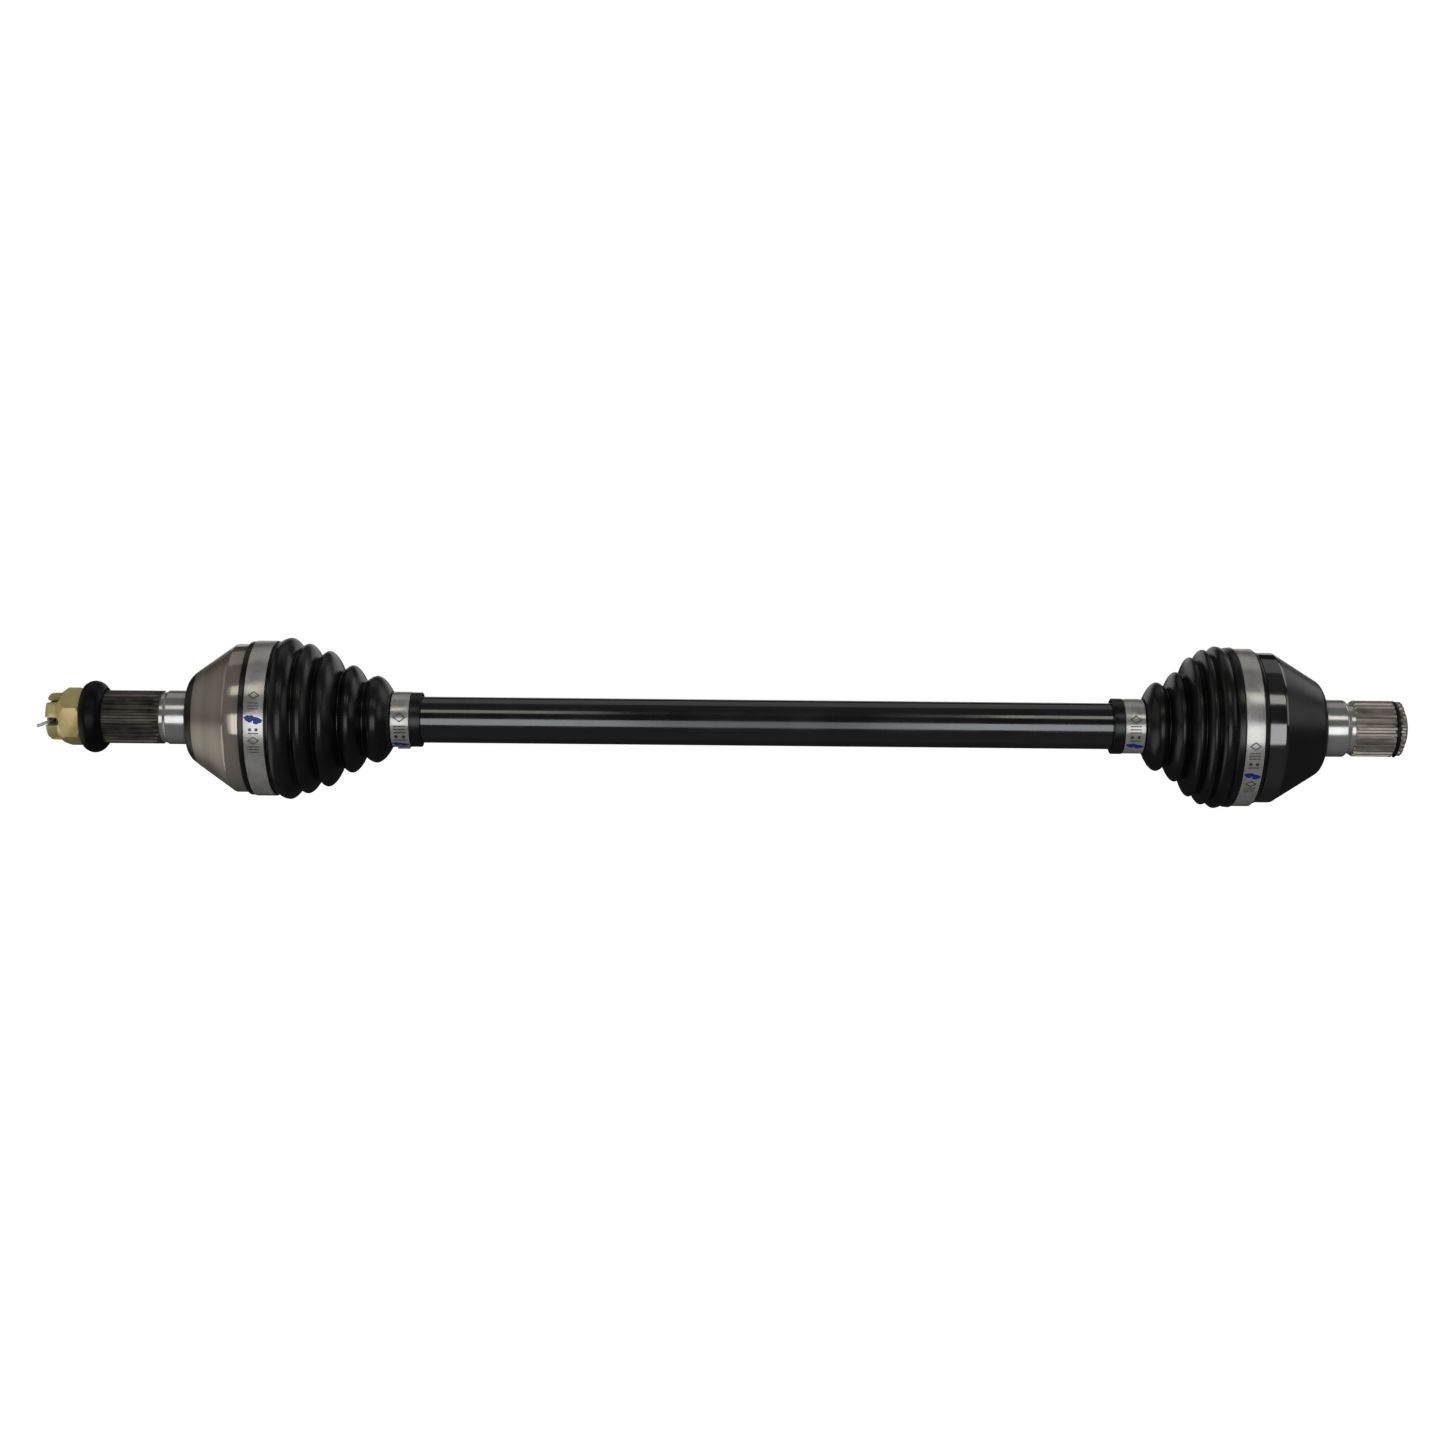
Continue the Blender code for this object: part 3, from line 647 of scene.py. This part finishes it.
def split_pin():
    """A cotter pin through the nut: its eye is behind, and one leg's tip is bent over in front."""
    along = Vector((0, -math.cos(SLOT_TILT), -math.sin(SLOT_TILT)))
    middle = Vector((PIN_X, 0, 0))
    near, far = middle + Vector((-1.1, 0, 0)), middle + Vector((1.1, 0, 0))
    tip = Vector((ends("cotter_pin")[0] + 0.35, -15.4, -5.6))
    eye = [
        middle - along * 17.2 + Vector((math.sin(a), 0, 0)) * 2.7 - along * math.cos(a) * 2.7
        for a in (math.radians(d) for d in range(-135, 136, 15))
    ]
    path = [tip, near + along * 15.2 + Vector((-3.2, 0, -0.9)), near + along * 14.4 + Vector((-0.9, 0, -0.1))]
    path += [near + along * 12.6, near - along * 13.4, *eye, far - along * 13.4, far + along * 4]
    line = smooth_line([tuple(p) for p in path], 5)
    finished(wire_piece("split_pin", line, 0.86, WIRE), "outer_housing", "cotter_pin")


# ---------------------------------------------------------------- gearbox end


def gearbox_cup():
    """A gloss black band beside the boot, a satin cone, and a bare journal.

    The six ball tracks are one round cavity here, with a groove for the retaining ring."""
    shoulder = 337.0
    bore, tracks, seat, mouth = 27.4, 31.9, 40.9, 278.8
    band_radius, journal_radius = 42.25, 16.1
    cavity = [(329.4, 0), (329.4, 17.0), (322.6, bore), (321.0, tracks), (282.0, tracks), (281.6, bore)]
    ring_groove = [(281.0, bore), (281.0, 28.7), (279.1, 28.7), (279.1, bore), (mouth + 0.2, bore)]
    band = rounded([
        (mouth, 29.0), (mouth, seat - 0.6), (mouth + 0.6, seat), (299.4, seat), (299.4, band_radius, 0.5),
        (308.7, band_radius, 0.9), (309.9, 41.4), (309.9, 39.5), (320.6, 33.2), (331.0, 20.0), (331.0, 0),
    ])
    finished(turned("gearbox_cup_band", cavity + ring_groove + band, BELL_BLACK), *GEARBOX_FORGING)
    cone = rounded([
        (330.8, 0), (330.8, 20.3), (320.6, 33.5), (309.8, 39.7), (309.8, 41.45), (334.9, 25.8, 2.6),
        (shoulder, 21.9, 1.6), (shoulder, 16.3, 0.4), (shoulder - 1, 15.0), (shoulder - 1, 0),
    ])
    finished(turned("gearbox_cup_cone", cone, BELL_SATIN), *GEARBOX_FORGING)
    journal = rounded([
        (shoulder - 1.2, 0), (shoulder - 1.2, journal_radius), (350.0, journal_radius, 0.9),
        (351.8, 14.1, 0.5), (355.6, 14.1), (355.6, 0),
    ])
    finished(turned("gearbox_journal", journal, JOURNAL), *GEARBOX_FORGING)


def gearbox_stub():
    """The gearbox end's spline, the floor of its snap ring groove, coloured near-black as painted shade, and
    the nose beyond the groove.
    """
    teeth, groove_floor = 27, 13.2
    spline = toothed("gearbox_spline", 354.4, 376.8, 15.8, 14.4, teeth, INNER_TEETH, run_in=1.3, run_out=0.9)
    finished(spline, *GEARBOX_FORGING)
    high = ends("inner_housing")[1]
    # The groove floor takes the snap ring's near-black steel: painted shade in the narrow groove.
    groove = [(376.4, 0), (376.4, groove_floor), (379.6, groove_floor), (379.6, 0)]
    finished(turned("gearbox_ring_groove", groove, SPRING), *GEARBOX_FORGING)
    nose = toothed(
        "gearbox_spline_nose", 379.3, 382.0, 15.3, 14.2, teeth, INNER_TEETH, run_in=0.6, run_out=2.4
    )
    finished(nose, *GEARBOX_FORGING)
    tip = rounded([
        (380.6, 0), (380.6, 14.4), (381.4, 14.3, 0.6), (high - 0.9, 10.6, 0.9), (high, 7.6, 0.8), (high, 0),
    ])
    finished(turned("gearbox_stub_nose", tip, INNER_TEETH), *GEARBOX_FORGING)


def stub_ring():
    """The round-wire snap ring, which hangs a little low in its groove until it is pressed in."""
    low, high = ends("inner_stub_circlip")
    radius, wire, sag, gap = 15.1, 1.05, 0.45, math.radians(14)
    x = (low + high) / 2
    turns = [-math.pi / 2 + gap + (math.tau - 2 * gap) * i / 96 for i in range(97)]
    line = [(x, radius * math.cos(a), radius * math.sin(a) - sag) for a in turns]
    finished(wire_piece("stub_snap_ring", line, wire, SPRING), "inner_housing", "inner_stub_circlip")


# ---------------------------------------------------------------- boots


WALL = 1.5  # rubber thickness at a ridge
FOLD_SHIFT = 0.35  # the share of a wall's shift along the axle that is kept, so that folds don't cross
CLEAR_OF_BAR = 13.4  # the least inner radius
NECK_FIT, WHEEL_LIP_FIT, GEARBOX_LIP_FIT = 13.25, 41.95, 41.2  # the radii that the plain ends fit over
CREST, VALLEY = 1.8, 1.12  # 1 makes a sharp corner, 2 a round one


def inner_side(outer, least):
    """The outline one wall inside a boot's outer line, never closer to the axle than least."""
    inside = []
    for index, point in enumerate(outer):
        before, after = Vector(outer[max(index - 1, 0)]), Vector(outer[min(index + 1, len(outer) - 1)])
        slope = (after - before).normalized()
        normal = Vector((slope.y, -slope.x))
        if normal.y > 0:
            normal.negate()
        shifted = Vector(point) + normal * WALL
        inside.append((point[0] + normal.x * WALL * FOLD_SHIFT, max(shifted.y, least)))
    return inside


def boot_segment(name, outer, inside, node):
    """One closed length of a boot, which bends across one joint."""
    outline = list(outer) + list(reversed(inside))
    piece = turned(name, outline, RUBBER, closed=True)
    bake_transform(piece)
    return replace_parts(piece, node)


def cut(line, low, high):
    """The stretch of a line between two x values, which lie on it."""
    def at(x):
        for (x0, r0), (x1, r1) in zip(line, line[1:]):
            if min(x0, x1) <= x <= max(x0, x1) and x0 != x1:
                return (x, r0 + (r1 - r0) * (x - x0) / (x1 - x0))
        return (x, line[0][1] if x < line[0][0] else line[-1][1])
    inside = [p for p in line if low + 0.05 < p[0] < high - 0.05]
    return [at(low)] + inside + [at(high)]


def ridge_line(points):
    """Round crests and narrow valleys. The points go valley, crest, valley, and so on."""
    line, steps = [], 16
    for index, ((x0, r0), (x1, r1)) in enumerate(zip(points, points[1:])):
        rising = index % 2 == 0
        for step in range(steps):
            t = step / steps
            up = (1 - (1 - t if rising else t) ** CREST) ** (1 / VALLEY)
            low, high = min(r0, r1), max(r0, r1)
            line.append((x0 + (x1 - x0) * t, low + (high - low) * up))
    line.append(points[-1])
    line = eased(line)
    return line if line[0][0] < line[-1][0] else line[::-1]


def eased(line):
    """Softens the narrow valleys a little and leaves the ends alone."""
    side, own = 0.2, 0.6
    for _ in range(2):
        radii = [r for _, r in line]
        neighbours = zip(line[1:], radii, radii[1:], radii[2:])
        middle = [(x, r0 * side + r1 * own + r2 * side) for (x, _), r0, r1, r2 in neighbours]
        line = [line[0], *middle, line[-1]]
    return line


def whole_boot(name, ridges, small_end, large_end, seams, node):
    """Segments from the small end to the large end, one across each joint between the bodies.

    Each end is a list of outer points with the radius that it fits over."""
    line = ridge_line(ridges)
    inner = sorted(inner_side(line, CLEAR_OF_BAR))
    for index, (start, end) in enumerate(zip(seams, seams[1:])):
        low, high = min(start, end), max(start, end)
        outer_part, inner_part = cut(line, low, high), cut(inner, low, high)
        if index == 0:
            outer_part, inner_part = with_collar(outer_part, inner_part, *small_end)
        if index == len(seams) - 2:
            outer_part, inner_part = with_collar(outer_part, inner_part, *large_end)
        label = f"{name}_{index + 1}"
        boot_segment(label, outer_part, inner_part, node)


def with_collar(outer, inner, points, fits):
    """Adds a boot's plain end, which the clamp holds, before or after a run of ridges."""
    collar = rounded(points, 4)
    bore = [(collar[0][0], fits), (collar[-1][0], fits)]
    if collar[0][0] > collar[-1][0]:
        collar, bore = collar[::-1], bore[::-1]
    overlap = 0.2
    if collar[-1][0] <= outer[0][0] + overlap:
        return collar + outer, bore + inner
    return outer + collar, inner + bore


# Crests and valleys in turn, from the small end to the large end.
WHEEL_RIDGES = [
    (-186.0, 15.4), (-194.8, 24.6), (-200.9, 21.0), (-208.6, 30.4), (-213.6, 26.4), (-221.9, 38.35),
    (-226.6, 34.4), (-233.2, 42.3), (-237.2, 39.9), (-243.2, 45.55), (-249.0, 43.0),
]
GEARBOX_RIDGES = [
    (237.1, 15.4), (244.5, 25.1), (249.3, 21.4), (255.2, 31.0), (258.6, 28.3), (263.0, 39.35), (266.3, 36.8),
    (270.0, 43.75), (273.2, 41.4), (277.0, 45.65), (281.6, 43.7),
]


def wheel_boot():
    """The boot over the wheel joint. The clamps lie in the sunken parts of its neck and its lip."""
    last, tip = ends("outer_boot")
    neck = [
        (tip, 14.0), (tip, 15.4, 0.5), (-175.3, 15.4, 0.4), (-175.3, 14.72), (-185.95, 14.72), (-186.0, 16.0),
    ]
    lip = [
        (-249.6, 43.2), (-250.3, 42.5), (-262.2, 42.5), (-262.3, 43.3, 0.4), (last, 43.3, 0.9), (last, 41.9),
    ]
    seams = [-186.0, -200.9, -213.6, -226.6, -248.8]
    small_end, large_end = (neck, NECK_FIT), (lip, WHEEL_LIP_FIT)
    whole_boot("wheel_boot", WHEEL_RIDGES, small_end, large_end, seams, "outer_boot")


def gearbox_boot():
    """The boot over the gearbox joint, whose last segment takes up the plunge."""
    tip, last = ends("inner_boot")
    neck = [
        (tip, 14.0), (tip, 15.7, 0.5), (225.2, 15.7, 0.4), (225.2, 14.42), (236.9, 14.42), (237.0, 16.0),
    ]
    lip = [
        (282.6, 44.9, 0.8), (285.7, 45.2, 0.5), (285.9, 43.4), (296.7, 43.4), (297.0, 43.3, 0.4),
        (last, 43.0, 0.8), (last, 41.2),
    ]
    seams = [237.1, 244.5, 249.3, 258.6, 266.3, 281.5]
    small_end, large_end = (neck, NECK_FIT), (lip, GEARBOX_LIP_FIT)
    whole_boot("gearbox_boot", GEARBOX_RIDGES, small_end, large_end, seams, "inner_boot")


# ---------------------------------------------------------------- clamps


def on_band(radius, middle, around_mm, along_mm, lift):
    """A point on a clamp's band. around_mm is measured upwards from the front (-Y) side."""
    angle = around_mm / radius
    r = radius + lift
    return Vector((middle + along_mm, -r * math.cos(angle), r * math.sin(angle)))


def raised(form, outline, radius, middle, lift=0.07):
    """A thin patch with the given (around, along) outline, laid on the band."""
    top = [form.verts.new(on_band(radius, middle, u, v, lift) * MM) for u, v in outline]
    low = [form.verts.new(on_band(radius, middle, u, v, -0.1) * MM) for u, v in outline]
    form.faces.new(top)
    form.faces.new(low[::-1])
    for i in range(len(outline)):
        j = (i + 1) % len(outline)
        form.faces.new((top[i], low[i], low[j], top[j]))


def outline_mark(form, u, v, size, stroke, sides, radius, middle, stretch=1.0):
    """A stamped outline with the given number of sides, laid on as one patch for each side."""
    for i in range(sides):
        a, b = (math.tau * k / sides for k in (i, i + 1))
        corners = [(size, a), (size, b), (size - stroke, b), (size - stroke, a)]
        patch = [(u + s * math.cos(t), v + stretch * s * math.sin(t)) for s, t in corners]
        raised(form, patch, radius, middle)


def dash(form, u, v, length, width, radius, middle):
    """A stamped bar. Its length runs round the band and its width along the axle."""
    half, wide = length / 2, width / 2
    corners = [(u - half, v - wide), (u + half, v - wide), (u + half, v + wide), (u - half, v + wide)]
    raised(form, corners, radius, middle)


def stamped_marks(name, band, places, size, body, node):
    """Plain stamped marks with no letters: diamonds, rows of bars, and dots beside a bar."""
    first, last, radius = band
    middle = (first + last) / 2
    stretch = min(1.4, ((last - first) / 2 - 1.1) / size)
    stroke, tall = 0.3 * size, 1.8 * size * stretch
    form = bmesh.new()
    for index, u in enumerate(places):
        kind = index % 3
        if kind == 0:
            outline_mark(form, u, 0, size, stroke, 4, radius, middle, stretch)
        elif kind == 1:
            for step in (-0.7, 0, 0.7):
                dash(form, u + step * size, 0, stroke * 0.8, tall, radius, middle)
        else:
            dash(form, u - size * 0.5, 0, stroke * 0.8, tall, radius, middle)
            for step in (-0.55, 0.55):
                centre = u + size * 0.4, step * size * stretch
                outline_mark(form, *centre, size * 0.4, size * 0.36, 8, radius, middle)
    finished(new_piece(name, form, ETCHED), body, node)


def blue_dab(name, band, at, width, body, node):
    """A brush stroke of marking paint in two ragged blobs across the band."""
    first, last, radius = band
    middle, half = (first + last) / 2, (last - first) / 2 - 0.4
    form = bmesh.new()
    for lean, scale, drop in ((-1, 0.62, 0.25), (1, 0.55, -0.35)):
        outline = []
        for i in range(28):
            a = math.tau * i / 28
            ragged = 1 + 0.13 * math.sin(3 * a + 0.7 + lean) + 0.07 * math.sin(7 * a)
            along = lean * half * (1 - scale) + half * scale * 0.88 * ragged * math.cos(a)
            outline.append((at + drop * width + width * ragged * math.sin(a), along))
        raised(form, outline, radius, middle, 0.05 + 0.01 * lean)
    finished(new_piece(name, form, PAINT_DAB), body, node)


def clamp_ear(name, middle, outside, turn, height, width, length):
    """An arch of strip with two legs and a flat crown."""
    half = width / 2
    arch = [
        (half + 1.4, outside - 0.2), (half, outside + 0.25), (half - 0.3, outside + (height - 0.5)),
        (half - 1.0, outside + height),
    ]
    profile = arch + [(-s, z) for s, z in reversed(arch)]
    form = bmesh.new()
    sides = []
    for x in (middle - length / 2, middle + length / 2):
        sides.append([form.verts.new(Vector((x, z, s)) * MM) for s, z in profile])
    form.faces.new(sides[0])
    form.faces.new(sides[1][::-1])
    for i in range(len(profile)):
        j = (i + 1) % len(profile)
        form.faces.new((sides[0][i], sides[1][i], sides[1][j], sides[0][j]))
    bmesh.ops.rotate(form, matrix=Matrix.Rotation(turn, 3, "X"), verts=form.verts)
    return bevelled(new_piece(name, form, STRIP), 0.3, 3, 25)


def clamp_tongue(name, middle, half, outside, start):
    """The free end of the strip, which narrows over its last quarter and lies on the band."""
    run = 16 if outside > 30 else 8
    form = bmesh.new()
    rows = []
    for i in range(13):
        t = i / 12
        angle = start + t * run / outside
        narrow = half - 0.9 - 1.4 * max(0.0, t - 0.75) * 4
        row = []
        for side, lift in ((-1, -0.1), (-1, 0.3), (1, 0.3), (1, -0.1)):
            r = outside + lift
            point = Vector((side * narrow + middle, -r * math.cos(angle), -r * math.sin(angle)))
            row.append(form.verts.new(point * MM))
        rows.append(row)
    form.faces.new(rows[0])
    form.faces.new(rows[-1][::-1])
    for one, two in zip(rows, rows[1:]):
        for i in range(4):
            j = (i + 1) % 4
            form.faces.new((one[i], two[i], two[j], one[j]))
    return new_piece(name, form, STRIP)


def band_clamp(name, node, inside, outside, ear_turn, ear, body):
    """A steel strip closed on itself, with a crimped ear and a tongue. ear is (height, width, length)."""
    first, last = ends(node)
    middle, half_wall, edge = (first + last) / 2, (inside + outside) / 2, 0.18
    outline = rounded([
        (first + 0.01, half_wall), (first, outside, edge), (last, outside, edge),
        (last, inside, edge), (first, inside, edge), (first, half_wall - 0.01),
    ], 3)
    band = turned(name, outline, STRIP, closed=True)
    loop = clamp_ear(name + "_ear", middle, outside, ear_turn, *ear)
    finished(band, body, node)
    finished(loop, body, node)
    tongue_start = ear_turn + math.pi + (ear[1] / 2 + 1.0) / outside
    finished(clamp_tongue(name + "_tongue", middle, (last - first) / 2, outside, tongue_start), body, node)
    return first, last, outside


def marked_clamp(name, body, node, radii, ear_degrees, ear, places, size, dab_at, dab_width):
    """A clamp with stamped marks and a dab of paint, at places in millimetres upwards from its front."""
    band = band_clamp(name, node, *radii, math.radians(ear_degrees), ear, body)
    stamped_marks(name + "_marks", band, places, size, body, node)
    blue_dab(name + "_dab", band, dab_at, dab_width, body, node)


def clamps():
    """The four clamps: their radii, the ear's place and size, and the places of the marks and the paint."""
    marked_clamp(
        "wheel_large_clamp", "outer_housing", "outer_boot_large_clamp", (42.9, 43.75), 35, (1.9, 12, 7),
        (12.6, 6.6, -7.4, -12.6, -17.8), 2.3, -0.8, 1.9,
    )
    marked_clamp(
        "wheel_small_clamp", "bar", "outer_boot_small_clamp", (15.0, 15.65), -60, (2.2, 7, 7),
        (1.0, -5.8, -11.6), 2.7, -17.0, 1.5,
    )
    marked_clamp(
        "gearbox_large_clamp", "inner_housing", "inner_boot_large_clamp", (43.7, 44.45), -35, (1.2, 12, 7),
        (-10.4, -16.0, -22.0, -34.5, -39.5), 2.4, -28.6, 1.7,
    )
    marked_clamp(
        "gearbox_small_clamp", "bar", "inner_boot_small_clamp", (14.7, 15.35), 40, (2.2, 7, 7),
        (3.8, -1.9, -7.4), 2.5, -12.2, 1.5,
    )


# ---------------------------------------------------------------- sealed pieces


def internals():
    """The races, cages, balls and rings inside the joints keep their solids and get their own steel."""
    for name, node in frame["nodes"].items():
        if "_ball_" in name:
            shader = BALL
        elif name.endswith(("_inner_race", "_cage")):
            shader = RACE
        elif name in ("outer_race_circlip", "inner_race_circlip", "inner_retaining_ring"):
            shader = SPRING
        else:
            continue
        node.data.materials.clear()
        node.data.materials.append(shader.made)


# ---------------------------------------------------------------- stage


def area_light(name, place, look_at, width, height, strength, colour=(1, 1, 1)):
    """A rectangular light. Its strength is its brightness, whatever its size."""
    light = bpy.data.lights.new(name, "AREA")
    light.shape = "RECTANGLE"
    light.size, light.size_y = width, height
    light.energy = strength * width * height * math.pi
    light.color = colour
    lamp = bpy.data.objects.new(name, light)
    lamp.location = place
    lamp.rotation_euler = (Vector(look_at) - Vector(place)).to_track_quat("-Z", "Y").to_euler()
    bpy.context.scene.collection.objects.link(lamp)
    return lamp


def world():
    """White for the camera; for reflections a dim room, darkest behind the object and palest below."""
    made = bpy.data.worlds.new("studio")
    bpy.context.scene.world = made
    made.use_nodes = True
    nodes, links = made.node_tree.nodes, made.node_tree.links
    nodes.clear()
    path = nodes.new("ShaderNodeLightPath")
    direction = nodes.new("ShaderNodeTexCoord")
    split = nodes.new("ShaderNodeSeparateXYZ")
    links.new(direction.outputs["Generated"], split.inputs["Vector"])

    def levels(axis, stops):
        """Grey levels along one axis of the direction that a ray leaves in."""
        span = nodes.new("ShaderNodeMapRange")
        span.inputs["From Min"].default_value = -1
        links.new(split.outputs[axis], span.inputs["Value"])
        ramp = nodes.new("ShaderNodeValToRGB")
        links.new(span.outputs["Result"], ramp.inputs["Fac"])
        elements = ramp.color_ramp.elements
        while len(elements) < len(stops):
            elements.new(0.5)
        for element, (at, level) in zip(elements, stops):
            element.position = at
            element.color = (level, level, level, 1)
        return ramp.outputs["Color"]

    by_height = levels("Z", ((0.0, 0.09), (0.35, 0.065), (0.5, 0.045), (0.8, 0.04), (1.0, 0.08)))
    by_depth = levels("Y", ((0.0, 1.0), (0.5, 0.9), (0.75, 0.5), (1.0, 0.4)))
    product = nodes.new("ShaderNodeMix")
    product.data_type, product.blend_type = "RGBA", "MULTIPLY"
    product.inputs["Factor"].default_value = 1
    links.new(by_height, product.inputs[6])
    links.new(by_depth, product.inputs[7])
    studio, white = nodes.new("ShaderNodeBackground"), nodes.new("ShaderNodeBackground")
    white.inputs["Color"].default_value = (1, 1, 1, 1)
    links.new(product.outputs[2], studio.inputs["Color"])
    choose, out = nodes.new("ShaderNodeMixShader"), nodes.new("ShaderNodeOutputWorld")
    links.new(path.outputs["Is Camera Ray"], choose.inputs["Fac"])
    links.new(studio.outputs["Background"], choose.inputs[1])
    links.new(white.outputs["Background"], choose.inputs[2])
    links.new(choose.outputs["Shader"], out.inputs["Surface"])


def floor():
    """A pale floor that the boots' largest ridges rest on. It is seen but not reflected."""
    lowest, clearance, reach = CAD_BOX[0][2], 0.2 * MM, 6.0
    corners = [(x * reach, y * reach, 0) for x, y in ((-1, -1), (1, -1), (1, 1), (-1, 1))]
    mesh = bpy.data.meshes.new("floor")
    mesh.from_pydata(corners, [], [(0, 1, 2, 3)])
    plane = bpy.data.objects.new("floor", mesh)
    plane.location.z = lowest - clearance
    bpy.context.scene.collection.objects.link(plane)
    made = bpy.data.materials.new("pale_floor")
    made.use_nodes = True
    shader = made.node_tree.nodes["Principled BSDF"]
    shader.inputs["Base Color"].default_value = (0.5, 0.5, 0.5, 1)
    shader.inputs["Roughness"].default_value = 0.9
    shader.inputs["Emission Color"].default_value = (1, 1, 1, 1)
    shader.inputs["Emission Strength"].default_value = 0.97
    mesh.materials.append(made)
    plane.visible_glossy = False
    plane.visible_diffuse = False
    plane.visible_shadow = False


def lights():
    """Wide panels below the front, strips above it, and softer lights at the sides and behind."""
    cool, warm = (0.95, 0.975, 1.0), (1.0, 0.985, 0.92)
    area_light("wide_front", (0, -2.2, -0.42), (0, -1.2, -0.42), 2.9, 1.25, 0.75, cool)
    area_light("wide_left", (-0.7, -2.21, -0.42), (-0.7, -1.2, -0.42), 1.1, 1.25, 1.0, cool)
    area_light("wide_right", (0.9, -2.21, -0.42), (0.9, -1.2, -0.42), 1.2, 1.25, 1.1, cool)
    area_light("strip_left", (-0.75, -1.6, 1.5), (-0.75, 0, 0), 1.05, 0.55, 1.3, warm)
    area_light("strip_right", (1.0, -1.6, 1.5), (1.0, 0, 0), 1.1, 0.55, 1.5, warm)
    area_light("side_left", (-2.4, 0.1, -0.9), (-0.3, 0, 0), 2.4, 1.3, 0.7, (1.0, 0.98, 0.95))
    area_light("side_left_high", (-2.4, 0.1, 0.9), (-0.3, 0, 0), 2.4, 1.8, 0.25, (1.0, 0.97, 0.9))
    area_light("side_right", (2.6, -0.6, 0.7), (0.3, 0, 0), 1.6, 1.2, 0.5)
    area_light("top_back", (0, 0.9, 2.4), (0, 0, 0), 3.6, 1.7, 0.24)
    area_light("rim_right", (2.2, 1.2, 1.7), (0.3, 0, 0), 1.4, 1.4, 0.8)
    area_light("back", (0, 2.6, 0.9), (0, 0, 0), 3.2, 0.9, 0.6)


def camera():
    """In front of mid-length, level with the axle and rolled slightly, as the photographer's was."""
    data = bpy.data.cameras.new("camera")
    data.lens = 56.3
    data.sensor_width = 36
    made = bpy.data.objects.new("camera", data)
    distance, roll = 1.277, math.radians(0.55)
    level = Matrix.Translation((0, -distance, 0)) @ Matrix.Rotation(math.pi / 2, 4, "X")
    made.matrix_world = level @ Matrix.Rotation(roll, 4, "Z")
    bpy.context.scene.collection.objects.link(made)
    bpy.context.scene.camera = made


camera()
world()
floor()
lights()
bpy.context.scene.view_settings.view_transform = "Standard"

bar()
wheel_bell()
wheel_stub()
hub_nut()
thick_washer()
split_pin()
gearbox_cup()
gearbox_stub()
stub_ring()
wheel_boot()
gearbox_boot()
clamps()
internals()
